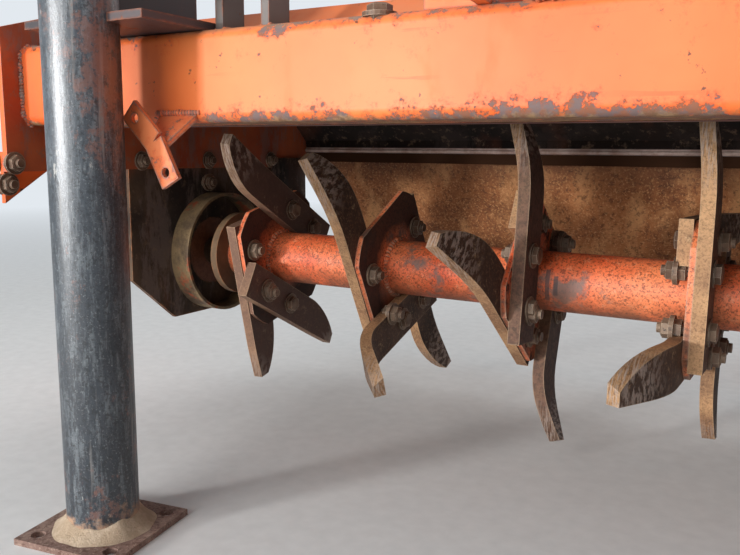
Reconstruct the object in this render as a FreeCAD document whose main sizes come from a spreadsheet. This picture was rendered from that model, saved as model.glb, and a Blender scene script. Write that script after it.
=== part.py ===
"""Tractor rotavator, parked on two front stands and a rear depth wheel. Millimetres.

X runs across the machine, Y runs from the hitch to the rear and Z runs up from the ground.
Shapes are drawn about the ground point below the rotor's middle, then every node is moved
by rotor_y so that the origin lies under the middle of the whole machine.
"""
import FreeCAD, Part
import Sketcher
import math
import os
import re

os.makedirs("parts", exist_ok=True)

SIZES = (
    # name, size, what it is
    ("inner_width", 2210, "between the two end plates"),
    ("rotor_height", 293, "rotor axis above the ground"),
    ("beam_side", 110, "front beam, square section"),
    ("beam_wall", 8, "front beam wall"),
    ("beam_corner", 12, "front beam outer corner radius"),
    ("beam_ahead", 404, "front beam face ahead of the rotor axis"),
    ("beam_low", 516, "underside of the front beam above the ground"),
    ("upper_plate", 10, "upper end plate thickness"),
    ("upper_front", 30, "upper end plate ahead of the beam face"),
    ("upper_low", 157, "upper end plate's lower edge above the rotor axis"),
    ("upper_top", 22, "upper end plate above the beam"),
    ("upper_rear", 345, "upper end plate behind the rotor axis"),
    ("lower_plate", 8, "lower end plate thickness"),
    ("lower_half", 203, "lower end plate, half its length"),
    ("lower_drop", 113, "lower end plate below the rotor axis"),
    ("lower_foot", 105, "half of the lower end plate's bottom edge"),
    ("lower_heel", 33, "where the lower end plate's slant starts, below the axis"),
    ("plate_lap", 28, "overlap of the two end plates"),
    ("bracket_drop", 45, "front bracket's corner below the upper end plate"),
    ("bracket_long", 118, "front bracket, front to back"),
    ("end_reach", 80, "bearing hub and drive case outside the end plates"),
    ("case_rim", 12, "drive case's cover, thickness and overhang"),
    ("blind_gap", 5, "space past the end of a shaft in its blind bore"),
    ("tube_radius", 44.45, "rotor tube outside radius"),
    ("tube_wall", 8, "rotor tube wall"),
    ("tube_gap", 65, "rotor tube end to end plate"),
    ("stub_disc", 75, "radius of the rotor's end disc"),
    ("stub_disc_thick", 14, "rotor's end disc thickness"),
    ("stub_radius", 25, "rotor end shaft radius"),
    ("stub_depth", 60, "rotor end shaft inside its bearing"),
    ("running_gap", 0.05, "radial clearance of a turning shaft"),
    ("sliding_gap", 0.1, "radial clearance of a sliding tube"),
    ("hub_radius", 62, "bearing hub radius"),
    ("hub_flange", 95, "bearing hub flange radius"),
    ("hub_flange_thick", 14, "bearing hub flange thickness"),
    ("ring_radius", 111, "ring guard outside radius"),
    ("ring_wall", 5, "ring guard wall"),
    ("ring_length", 40, "ring guard length"),
    ("flange_pitch", 238, "from one blade flange to the next"),
    ("flange_end", 150, "least space from an end plate to the outer blade flange"),
    ("flange_thick", 8, "blade flange thickness"),
    ("flange_half", 104, "blade flange, half across its flats"),
    ("flange_corner", 126, "blade flange corner radius from the axis"),
    ("blade_thick", 18, "blade thickness"),
    ("blade_width", 60, "blade width"),
    ("blade_offset", 76, "blade centre line from the rotor axis"),
    ("blade_back", 88, "blade shank behind its nearest point to the axis"),
    ("blade_straight", 118, "straight part of the blade beyond that point"),
    ("blade_bend", 0.6, "bent share of the blade beyond its straight part"),
    ("blade_reach", 262, "length of a new blade beyond that point"),
    ("blade_wear", 95, "length of the worn taper at the blade's tip"),
    ("blade_tip", 18, "blade width left at the worn tip"),
    ("blade_swell", 0.36, "worn edge's depth half-way, as part of its depth at the tip"),
    ("flange_turn", 25, "from one blade flange to the next past those in BLADES, degrees"),
    ("face_turn", 77, "right face's blades from the left face's on those flanges, degrees"),
    ("lean_out", 30, "lean of their blades away from the flange, degrees"),
    ("lean_in", 20, "lean of their opposite blades across the flange, degrees"),
    ("hood_sheet", 5, "hood sheet thickness"),
    ("hood_rise", 152, "hood top above the underside of the front beam"),
    ("hood_slant", 38, "hood's slanted corner behind the beam"),
    ("hood_flat", 120, "end of the hood's flat top behind the rotor axis"),
    ("hood_end", 300, "rear edge of the hood behind the rotor axis"),
    ("hood_end_up", 214, "rear edge of the hood above the rotor axis"),
    ("lip_depth", 34, "front lip of the hood, front to back"),
    ("lip_thick", 6, "front lip thickness"),
    ("rail_thick", 8, "hinge rail thickness"),
    ("rail_height", 63, "hinge rail height"),
    ("rail_below", 4, "hinge rail's lower edge below the hinge"),
    ("hinge_behind", 326, "board hinge behind the rotor axis"),
    ("hinge_up", 193, "board hinge above the rotor axis"),
    ("hinge_rod", 8, "board hinge rod radius"),
    ("hinge_eye", 15, "hinge eye outside radius"),
    ("eye_length", 36, "hinge eye length"),
    ("eye_count", 4, "hinge eyes along the rail"),
    ("eye_space", 6, "notch in the board beside each hinge eye"),
    ("board_side_gap", 42, "board end to end plate"),
    ("board_sheet", 6, "board sheet thickness"),
    ("board_clear", 22, "board sheet's notches below the hinge"),
    ("board_rise", 10, "board sheet's top edge below the hinge"),
    ("board_drop", 270, "board's bend below the hinge"),
    ("board_foot", 45, "bent lower edge of the board"),
    ("board_lean", 20, "board's slope to the rear at rest, degrees"),
    ("board_flick", 40, "extra slope of the board's lower edge, degrees"),
    ("stand_in", 240, "stand pipe's axis inside the end plate"),
    ("stand_ahead", 497, "stand pipe ahead of the rotor axis"),
    ("stand_radius", 44.45, "stand pipe outside radius"),
    ("stand_wall", 5, "stand pipe wall"),
    ("stand_top", 905, "top of the stand pipe above the ground"),
    ("foot_side", 150, "foot plate, square"),
    ("foot_thick", 8, "foot plate thickness"),
    ("foot_turn", 9, "foot plate's turn about the pipe, degrees"),
    ("foot_hole", 9, "foot plate hole radius"),
    ("foot_hole_out", 78, "foot plate hole from the pipe's axis"),
    ("hanger_in", 269, "hanger bracket's outer edge inside the end plate"),
    ("hanger_wide", 62, "hanger bracket's width on the beam"),
    ("hanger_nose", 35, "hanger bracket's width at its outer edge"),
    ("hanger_low", 10, "hanger bracket's upper face above the beam's underside"),
    ("hanger_out", 38, "hanger bracket ahead of the beam face"),
    ("hanger_dip", 34, "hanger bracket's slope down over that length"),
    ("hanger_thick", 8, "hanger bracket thickness"),
    ("strap_thick", 6, "hanger strap thickness"),
    ("strap_half", 15, "hanger strap, half its width"),
    ("strap_arm", 56, "hanger strap's arms, from its bend"),
    ("strap_turn", 37, "hanger strap's slope, mean of its two arms, degrees"),
    ("strap_bow", 9, "hanger strap's arms from that slope, degrees"),
    ("strap_hole", 6, "hanger strap's hole radius"),
    ("clip_in", 144, "beam-top clip inside the left stand"),
    ("clip_half", 41, "beam-top clip, half its width"),
    ("clip_bar", 12, "beam-top clip's bar, thickness"),
    ("clip_deep", 40, "beam-top clip's bar, front to back"),
    ("clip_tall", 70, "beam-top clip's height"),
    ("clip_back", 24, "beam-top clip behind the beam face"),
    ("sleeve_wall", 8, "stand sleeve wall"),
    ("sleeve_low", 665, "bottom of the stand sleeve above the ground"),
    ("sleeve_length", 120, "stand sleeve length"),
    ("base_half", 100, "stand bracket's base plate, half its length"),
    ("base_thick", 10, "stand bracket plate thickness"),
    ("screw_radius", 8, "clamp screw radius"),
    ("screw_out", 70, "clamp screw outside its sleeve"),
    ("screw_up", 100, "clamp screw above the bottom of its sleeve"),
    ("screw_gap", 0.3, "clamp screw's tip to the pipe"),
    ("handle_half", 45, "clamp screw's handle, half its length"),
    ("handle_radius", 5, "clamp screw's handle radius"),
    ("link_side", 412.5, "lower link shoulder from the middle of the machine"),
    ("link_ahead", 185, "lower link pin ahead of the beam face"),
    ("link_up", 50, "lower link pin above the beam"),
    ("link_nose", 36, "lower link bracket round its pin"),
    ("link_rise", 70, "lower link bracket above its pin, at the beam"),
    ("link_foot", 60, "lower link bracket's foot, across"),
    ("link_foot_thick", 12, "lower link bracket's foot thickness"),
    ("link_pin", 14, "lower link pin radius"),
    ("link_shoulder", 18, "lower link pin's radius inside its bracket"),
    ("link_head", 25, "lower link pin's head radius"),
    ("link_head_long", 12, "lower link pin's head length"),
    ("link_pin_length", 75, "lower link pin outside its bracket"),
    ("link_plate", 15, "lower link bracket thickness"),
    ("mast_height", 610, "top link hole above the lower link pins"),
    ("mast_gap", 52, "between the top link ears"),
    ("mast_plate", 15, "top link ear thickness"),
    ("mast_depth", 80, "mast leg, front to back"),
    ("mast_foot", 320, "mast leg's foot from the middle"),
    ("mast_hole", 12.85, "top link hole radius"),
    ("mast_cap", 40, "mast leg above the top link hole"),
    ("mast_join", 60, "height below the top link hole where the mast legs meet"),
    ("ear_ahead", 110, "top link hole ahead of the mast leg's front edge"),
    ("brace_width", 50, "mast brace width"),
    ("brace_top", 12, "mast brace's upper end above the top link hole"),
    ("brace_thick", 12, "mast brace thickness"),
    ("rear_beam", 60, "rear cross beam, square section"),
    ("rear_beam_at", 45, "front of the rear cross beam behind the rotor axis"),
    ("gear_plate", 12, "gearbox plate thickness"),
    ("gear_half", 120, "gearbox, half its width"),
    ("gear_foot", 60, "gearbox plate beyond the gearbox, at each side"),
    ("gear_ahead", 270, "gearbox front ahead of the rotor axis"),
    ("gear_long", 190, "gearbox, front to back"),
    ("gear_tall", 170, "gearbox height"),
    ("shaft_up", 95, "drive shafts above the gearbox's underside"),
    ("nose_radius", 55, "gearbox nose radius"),
    ("nose_long", 160, "gearbox nose length"),
    ("input_radius", 17.45, "drive input shaft radius"),
    ("input_journal", 22, "drive input shaft radius inside the nose"),
    ("input_out", 90, "drive input shaft outside the nose"),
    ("input_in", 60, "drive input shaft inside the nose"),
    ("guard_radius", 85, "input guard radius"),
    ("guard_wall", 3, "input guard wall"),
    ("guard_cut", 42, "input guard's open underside, below the shaft"),
    ("guard_long", 125, "input guard length"),
    ("cross_radius", 50, "cross shaft tube radius"),
    ("cross_ahead", 150, "cross shaft ahead of the rotor axis"),
    ("case_top", 105, "drive case radius about the cross shaft"),
    ("case_low", 112, "drive case radius about the rotor"),
    ("wheel_behind", 820, "depth wheel behind the rotor axis"),
    ("tyre_radius", 200, "depth wheel tyre radius"),
    ("tyre_half", 60, "depth wheel tyre, half its width"),
    ("rim_radius", 122, "depth wheel rim radius"),
    ("axle_radius", 12.5, "depth wheel axle radius"),
    ("wheel_hub", 30, "depth wheel hub radius"),
    ("fork_gap", 13, "tyre to fork leg"),
    ("fork_plate", 12, "fork plate thickness"),
    ("fork_width", 56, "fork leg width"),
    ("fork_rise", 30, "fork crown above the tyre"),
    ("column_radius", 30, "depth wheel column radius"),
    ("column_top", 1000, "top of the depth wheel column above the ground"),
    ("column_way", 144, "depth wheel sleeve length"),
    ("column_way_low", 42, "depth wheel sleeve below the arm"),
    ("column_sleeve", 9, "depth wheel column sleeve wall"),
)

SIDES = (
    # name, sign of X
    ("left", -1),
    ("right", 1),
)

BLADES = (
    # each flange from the left end, and each of its blades: face (-1 left, 1 right), direction in
    # degrees up from the rear, which way round its shank lies (1 is ahead of the axis when the
    # blade points up), its foot's lean towards +X in degrees, and the length worn off its tip;
    # the first flange's left face has lost one blade, and the second's right face another
    ((-1, 283, -1, 4, 66), (1, 150, -1, 4, 14), (1, 332, -1, 4, 66)),
    ((-1, 118, 1, -14, 0), (-1, 290, 1, 15, 0), (1, 198, 1, 43, 22)),
    ((-1, 142, 1, -18, 0), (-1, 332, 1, 25, 20), (1, 84, 1, -16, 20), (1, 252, 1, 20, 18)),
    ((-1, 178, 1, -25, 4), (-1, 358, 1, 27, 10), (1, 88, 1, -7, 20), (1, 262, 1, 4, 50)),
)
BLADE_START = 203

doc = FreeCAD.newDocument("Rotavator")
sheet = doc.addObject("Spreadsheet::Sheet", "Dims")
NAMES = set()
for row, (alias, amount, meaning) in enumerate(SIZES, start=1):
    sheet.set(f"A{row}", alias)
    sheet.set(f"B{row}", str(amount))
    sheet.set(f"C{row}", meaning)
    sheet.setAlias(f"B{row}", alias)
    NAMES.add(alias)
doc.recompute()

# Heights and places that several pieces share, as expressions on the sheet.
BEAM_TOP = "(beam_low + beam_side)"
HOOD_TOP = "(beam_low + hood_rise)"
END_IN = "(inner_width / 2)"
END_MID = "(inner_width / 2 + upper_plate)"
END_OUT = "(inner_width / 2 + upper_plate + lower_plate)"
GEAR_LOW = f"({HOOD_TOP} + gear_plate)"
SHAFT_HEIGHT = f"({GEAR_LOW} + shaft_up)"
LINK_HEIGHT = "(beam_low + beam_side + link_up)"
STAND_X = f"({END_IN} - stand_in)"
STAND_FRONT = "(stand_ahead + stand_radius + screw_gap + sleeve_wall)"
ROTOR_Y = f"(({STAND_FRONT} + screw_out - wheel_behind - tyre_radius) / 2)"
AXES = {"x": FreeCAD.Vector(1, 0, 0), "y": FreeCAD.Vector(0, 1, 0), "z": FreeCAD.Vector(0, 0, 1)}
ALONG = {
    "x": FreeCAD.Rotation(AXES["y"], 90),
    "y": FreeCAD.Rotation(AXES["x"], -90),
    "z": FreeCAD.Rotation(),
}
places = {}
nodes = []


def bound(text):
    """An expression with each size's name pointing at its cell."""
    return re.sub(r"[a-z][a-z_0-9]*", lambda word: "Dims." + word[0] if word[0] in NAMES else word[0], text)


def tie(thing, prop, text):
    thing.setExpression(prop, bound(text))


def size(name):
    return float(getattr(sheet, name))


def place(thing, x="0", y="0", z="0"):
    places[thing.Name] = y
    for axis, text in (("x", x), ("y", y), ("z", z)):
        tie(thing, "Placement.Base." + axis, text)
    return thing


def block(name, across, deep, tall, x, y, z):
    thing = doc.addObject("Part::Box", name)
    tie(thing, "Length", across)
    tie(thing, "Width", deep)
    tie(thing, "Height", tall)
    return place(thing, x, y, z)


def rod(name, radius, length, along, x, y, z):
    thing = doc.addObject("Part::Cylinder", name)
    tie(thing, "Radius", radius)
    tie(thing, "Height", length)
    thing.Placement = FreeCAD.Placement(FreeCAD.Vector(), ALONG[along])
    return place(thing, x, y, z)


def cut(name, base, *tools):
    tool = tools[0] if len(tools) == 1 else fuse(name + "Tools", *tools)
    thing = doc.addObject("Part::Cut", name)
    thing.Base = base
    thing.Tool = tool
    return thing


def fuse(name, *shapes):
    thing = doc.addObject("Part::MultiFuse", name)
    thing.Shapes = list(shapes)
    return thing


def pipe(name, outer, inner, length, along, x, y, z):
    outside = rod(name + "Outside", outer, length, along, x, y, z)
    return cut(name, outside, rod(name + "Bore", inner, length, along, x, y, z))


def profile(body, role, points, circles=()):
    """A sketch on one of the body's own planes, every corner tied to the sheet."""
    plane = next(feature for feature in body.Origin.OriginFeatures if feature.Role == role)
    sketch = body.newObject("Sketcher::SketchObject", body.Name + "Sketch")
    sketch.AttachmentSupport = (plane, [""])
    sketch.MapMode = "FlatFace"
    count = len(points)
    start = [FreeCAD.Vector(math.cos(math.tau * step / count), math.sin(math.tau * step / count), 0)
             for step in range(count)]
    for step in range(count):
        sketch.addGeometry(Part.LineSegment(start[step], start[(step + 1) % count]), False)
    for step in range(count):
        sketch.addConstraint(Sketcher.Constraint("Coincident", step, 2, (step + 1) % count, 1))
    for step, corner in enumerate(points):
        for kind, text, now in zip(("DistanceX", "DistanceY"), corner, start[step]):
            index = sketch.addConstraint(Sketcher.Constraint(kind, -1, 1, step, 1, now))
            tie(sketch, f"Constraints[{index}]", text)
    for across, up, radius in circles:
        ring = sketch.addGeometry(Part.Circle(FreeCAD.Vector(), AXES["z"], 1), False)
        for kind, text in (("DistanceX", across), ("DistanceY", up)):
            index = sketch.addConstraint(Sketcher.Constraint(kind, -1, 1, ring, 3, 0))
            tie(sketch, f"Constraints[{index}]", text)
        index = sketch.addConstraint(Sketcher.Constraint("Radius", ring, 1))
        tie(sketch, f"Constraints[{index}]", radius)
    return sketch


def slab(name, role, points, thick, x="0", y="0", z="0", circles=()):
    """A flat plate: an outline on a plane, padded to its thickness."""
    body = doc.addObject("PartDesign::Body", name)
    sketch = profile(body, role, points, circles)
    pad = body.newObject("PartDesign::Pad", name + "Pad")
    pad.Profile = sketch
    tie(pad, "Length", thick)
    return place(body, x, y, z)


def node(thing, label):
    """Name a finished piece and move it from rotor coordinates to the machine's own."""
    thing.Label = label
    tie(thing, "Placement.Base.y", f"{places.get(thing.Name, '0')} + {ROTOR_Y}")
    nodes.append(thing)
    return thing


def several(name, shapes):
    """Like pieces that share a node as separate solids."""
    thing = doc.addObject("Part::Compound", name)
    thing.Links = list(shapes)
    return thing


def built(name, shape):
    """A piece whose shape is worked out here from the sheet's sizes."""
    thing = doc.addObject("Part::Feature", name)
    thing.Shape = shape
    return thing


def bent_sheet(points, thick, low, high):
    """A folded sheet: a line of corners, thickened to one side and drawn along X."""
    line = Part.makePolygon([FreeCAD.Vector(low, y, z) for y, z in points])
    face = line.makeOffset2D(thick, join=2, fill=True, openResult=True)
    return face.extrude(FreeCAD.Vector(high - low, 0, 0))


def outward(sign, inner, thick):
    """X of the lower side of a plate that starts at inner and grows away from the middle."""
    return inner if sign > 0 else f"-({inner} + {thick})"


# Front beam: a hollow square section with rounded corners, from end plate to end plate.
beam = doc.addObject("PartDesign::Body", "FrontBeam")
beam_face = profile(beam, "YZ_Plane", (
    ("-beam_ahead", "beam_low"), ("-beam_ahead + beam_side", "beam_low"),
    ("-beam_ahead + beam_side", BEAM_TOP), ("-beam_ahead", BEAM_TOP)))
beam_pad = beam.newObject("PartDesign::Pad", "BeamPad")
beam_pad.Profile = beam_face
tie(beam_pad, "Length", "inner_width")
doc.recompute()
long_edges = [f"Edge{index}" for index, edge in enumerate(beam_pad.Shape.Edges, start=1)
              if edge.BoundBox.XLength > size("beam_side")]
beam_round = beam.newObject("PartDesign::Fillet", "BeamCorners")
beam_round.Base = (beam_pad, long_edges)
tie(beam_round, "Radius", "beam_corner")
beam_hollow = profile(beam, "YZ_Plane", (
    ("-beam_ahead + beam_wall", "beam_low + beam_wall"),
    ("-beam_ahead + beam_side - beam_wall", "beam_low + beam_wall"),
    ("-beam_ahead + beam_side - beam_wall", f"{BEAM_TOP} - beam_wall"),
    ("-beam_ahead + beam_wall", f"{BEAM_TOP} - beam_wall")))
beam_pocket = beam.newObject("PartDesign::Pocket", "BeamHollow")
beam_pocket.Profile = beam_hollow
beam_pocket.Type = "ThroughAll"
beam_pocket.Reversed = True
node(place(beam, f"-{END_IN}"), "front_beam")

# End plates: an upper plate welded to the beam and hood, and a lower plate bolted outside it.
uppers = []
lowers = []
rings = []
corners = []
for side, sign in SIDES:
    upper = slab(side + "Upper", "YZ_Plane", (
        ("-beam_ahead - upper_front", "rotor_height + upper_low"),
        ("lower_half", "rotor_height + upper_low"),
        ("upper_rear", "rotor_height + hinge_up - hinge_eye * 2"),
        ("upper_rear", "rotor_height + hinge_up + hinge_eye * 2"),
        ("hood_flat + upper_top", f"{HOOD_TOP} + upper_top"),
        ("-beam_ahead + beam_side", f"{HOOD_TOP} + upper_top"),
        ("-beam_ahead - upper_front", f"{BEAM_TOP} + upper_top")),
        "upper_plate", outward(sign, END_IN, "upper_plate"))
    uppers.append(upper)
    lower = slab(side + "Lower", "YZ_Plane", (
        ("-lower_half", "rotor_height + upper_low + plate_lap"),
        ("-lower_half", "rotor_height - lower_heel"),
        ("-lower_foot", "rotor_height - lower_drop"),
        ("lower_foot", "rotor_height - lower_drop"),
        ("lower_half", "rotor_height - lower_heel"),
        ("lower_half", "rotor_height + upper_low + plate_lap")),
        "lower_plate", outward(sign, END_MID, "lower_plate"),
        circles=(("0", "rotor_height", "hub_radius"),))
    lowers.append(lower)
    ring = pipe(side + "Ring", "ring_radius", "ring_radius - ring_wall", "ring_length", "x",
                END_MID + " - ring_length" if sign > 0 else "-" + END_MID, "0", "rotor_height")
    rings.append(ring)
    corner = slab(side + "Corner", "YZ_Plane", (
        ("-beam_ahead - upper_front", "rotor_height + upper_low + plate_lap"),
        ("-beam_ahead - upper_front", "rotor_height + upper_low - bracket_drop"),
        ("-beam_ahead - upper_front + bracket_long", "rotor_height + upper_low + plate_lap")),
        "lower_plate", outward(sign, END_MID, "lower_plate"))
    corners.append(corner)
node(several("Uppers", uppers), "upper_end_plates")
node(several("Lowers", lowers), "lower_end_plates")
node(several("Rings", rings), "ring_guards")
node(several("Corners", corners), "front_brackets")

# Bearing hub on the left, and the drive case on the right, both with a blind bore.
hub_boss = rod("HubBoss", "hub_radius", "end_reach + lower_plate", "x",
               f"-{END_OUT} - end_reach", "0", "rotor_height")
hub_flange = rod("HubFlange", "hub_flange", "hub_flange_thick", "x",
                 f"-{END_OUT} - hub_flange_thick", "0", "rotor_height")
hub_bore = rod("HubBore", "stub_radius + running_gap", "stub_depth + lower_plate + blind_gap", "x",
               f"-{END_MID} - lower_plate - stub_depth - blind_gap", "0", "rotor_height")
node(cut("Hub", fuse("HubBody", hub_boss, hub_flange), hub_bore), "left_bearing_hub")


def case_shape(grow, low, high):
    """The drive case's outline: two round ends joined by their tangents, drawn along X."""
    top = FreeCAD.Vector(low, -size("cross_ahead"),
                         size("beam_low") + size("hood_rise") + size("gear_plate") + size("shaft_up"))
    bottom = FreeCAD.Vector(low, 0, size("rotor_height"))
    line = bottom - top
    lean = math.atan2(line.z, line.y)
    swing = math.acos((size("case_top") - size("case_low")) / line.Length)
    corners = []
    for centre, radius in ((top, size("case_top") + grow), (bottom, size("case_low") + grow)):
        for turn in (lean + swing, lean - swing):
            corners.append(centre + FreeCAD.Vector(0, radius * math.cos(turn), radius * math.sin(turn)))
    up_one, up_two, down_one, down_two = corners
    crown = top - line.normalize() * (size("case_top") + grow)
    heel = bottom + line * (size("case_low") + grow)
    edges = [
        Part.Arc(up_one, crown, up_two).toShape(),
        Part.LineSegment(up_two, down_two).toShape(),
        Part.Arc(down_two, heel, down_one).toShape(),
        Part.LineSegment(down_one, up_one).toShape(),
    ]
    return Part.Face(Part.Wire(edges)).extrude(FreeCAD.Vector(high - low, 0, 0))


case_in = size("inner_width") / 2 + size("upper_plate") + size("lower_plate")
case_out = case_in + size("end_reach")
rim = size("case_rim")
case_body = case_shape(0, case_in, case_out - rim).fuse(case_shape(rim, case_out - 2 * rim, case_out))
case_solid = built("CaseBody", case_body)
case_boss = rod("CaseBoss", "hub_radius", "lower_plate", "x", END_MID, "0", "rotor_height")
case_bore = rod("CaseBore", "stub_radius + running_gap", "stub_depth + lower_plate + blind_gap", "x",
                END_MID, "0", "rotor_height")
node(cut("Case", fuse("CaseJoined", case_solid, case_boss), case_bore), "side_drive_case")

# Hood: one folded sheet from the beam's rear face over the rotor to the hinge rail.
rotor_up = size("rotor_height")
beam_back = size("beam_side") - size("beam_ahead")
hood_top = size("beam_low") + size("hood_rise")
width = size("inner_width")
hood_line = (
    (beam_back, size("beam_low")),
    (beam_back, hood_top - size("hood_slant")),
    (beam_back + size("hood_slant"), hood_top),
    (size("hood_flat"), hood_top),
    (size("hood_end"), rotor_up + size("hood_end_up")),
)
node(built("Hood", bent_sheet(hood_line, size("hood_sheet"), -width / 2, width / 2)), "hood")
node(block("Lip", "inner_width", "lip_depth", "lip_thick", f"-{END_IN}",
           "-beam_ahead + beam_side + hood_sheet", "beam_low"), "hood_front_lip")
node(block("Rail", "inner_width", "rail_thick", "rail_height", f"-{END_IN}", "hood_end",
           "rotor_height + hinge_up - rail_below"), "hinge_rail")

# Hinge eyes: tubes on lugs under the rail, round the board's hinge rod.
eyes = []
eye_step = (width - 2 * size("board_side_gap") - 2 * size("eye_length")) / (size("eye_count") - 1)
eye_at = [(index - (size("eye_count") - 1) / 2) * eye_step for index in range(int(size("eye_count")))]
for centre in eye_at:
    low = centre - size("eye_length") / 2
    eye_point = FreeCAD.Vector(low, size("hinge_behind"), rotor_up + size("hinge_up"))
    tube = Part.makeCylinder(size("hinge_eye"), size("eye_length"), eye_point, AXES["x"])
    lug = Part.makeBox(size("eye_length"), size("hinge_behind") - size("hood_end") - size("rail_thick"),
                       size("hinge_eye") + size("rail_height") / 2,
                       FreeCAD.Vector(low, size("hood_end") + size("rail_thick"), eye_point.z))
    bore = Part.makeCylinder(size("hinge_rod") + size("running_gap"), size("eye_length"), eye_point, AXES["x"])
    eyes.append(tube.fuse(lug).cut(bore))
node(built("Eyes", Part.makeCompound(eyes)), "hinge_eyes")

# Trailing board: rod, knuckles and a folded sheet that hangs behind the rotor.
node(rod("HingeRod", "hinge_rod", "inner_width - 2 * board_side_gap", "x",
         f"-{END_IN} + board_side_gap", "hinge_behind", "rotor_height + hinge_up"), "board_hinge_rod")
lean = math.radians(size("board_lean"))
flick = lean + math.radians(size("board_flick"))
hinge = (size("hinge_behind"), rotor_up + size("hinge_up"))


def hang(distance, angle=lean, start=hinge):
    return start[0] + distance * math.sin(angle), start[1] - distance * math.cos(angle)


board_fold = hang(size("board_drop"))
board_line = (hang(size("board_rise")), board_fold, hang(size("board_foot"), flick, board_fold))
board_half = width / 2 - size("board_side_gap")
board = bent_sheet(board_line, size("board_sheet"), -board_half, board_half)
knuckle_at = [(before + after) / 2 for before, after in zip(eye_at, eye_at[1:])]
notches = [(centre, size("eye_length") / 2 + size("eye_space")) for centre in eye_at]
notches += [(centre, size("eye_length")) for centre in knuckle_at]
for centre, half in notches:
    notch = Part.makeBox(2 * half, 2 * size("board_clear"), size("board_clear"),
                         FreeCAD.Vector(centre - half, hinge[0] - size("board_clear"), hinge[1] - size("board_clear")))
    notch.rotate(FreeCAD.Vector(centre, hinge[0], hinge[1]), AXES["x"], size("board_lean"))
    board = board.cut(notch)
node(built("Board", board), "trailing_board")
knuckles = []
for centre in knuckle_at:
    low = centre - size("eye_length")
    point = FreeCAD.Vector(low, hinge[0], hinge[1])
    tube = Part.makeCylinder(size("hinge_eye"), 2 * size("eye_length"), point, AXES["x"])
    strap = Part.makeBox(2 * size("eye_length"), size("board_sheet"), size("board_clear"),
                         FreeCAD.Vector(low, hinge[0], hinge[1] - size("board_clear")))
    strap.rotate(point, AXES["x"], size("board_lean"))
    bore = Part.makeCylinder(size("hinge_rod"), 2 * size("eye_length"), point, AXES["x"])
    knuckles.append(tube.fuse(strap).cut(bore))
node(built("Knuckles", Part.makeCompound(knuckles)), "board_knuckles")

# Rotor: tube, end shafts, blade flanges and the bent blades bolted to both faces of each.
node(pipe("Tube", "tube_radius", "tube_radius - tube_wall", "inner_width - 2 * tube_gap", "x",
          f"-{END_IN} + tube_gap", "0", "rotor_height"), "rotor_tube")
stubs = []
for side, sign in SIDES:
    disc_at = f"{END_IN} - tube_gap" if sign > 0 else f"-{END_IN} + tube_gap - stub_disc_thick"
    disc = rod(side + "Disc", "stub_disc", "stub_disc_thick", "x", disc_at, "0", "rotor_height")
    shaft_at = f"{END_IN} - tube_gap" if sign > 0 else f"-{END_OUT} - stub_depth"
    shaft = rod(side + "Shaft", "stub_radius", f"{END_OUT} - {END_IN} + tube_gap + stub_depth", "x",
                shaft_at, "0", "rotor_height")
    stubs.append(fuse(side + "Stub", disc, shaft))
node(several("Stubs", stubs), "rotor_end_shafts")

flange_total = int((width - 2 * size("flange_end")) / size("flange_pitch")) + 1
flange_at = [(index - (flange_total - 1) / 2) * size("flange_pitch") for index in range(flange_total)]
axle_point = FreeCAD.Vector(0, 0, rotor_up)


def flange_shape(x, turn):
    half = size("flange_half")
    thick = size("flange_thick")
    plate = Part.makeBox(thick, 2 * half, 2 * half, FreeCAD.Vector(-thick / 2, -half, -half))
    start = FreeCAD.Vector(-thick / 2, 0, 0)
    plate = plate.common(Part.makeCylinder(size("flange_corner"), thick, start, AXES["x"]))
    plate = plate.cut(Part.makeCylinder(size("tube_radius"), thick, start, AXES["x"]))
    plate.rotate(FreeCAD.Vector(), AXES["x"], turn)
    plate.translate(axle_point + FreeCAD.Vector(x, 0, 0))
    return plate


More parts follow.
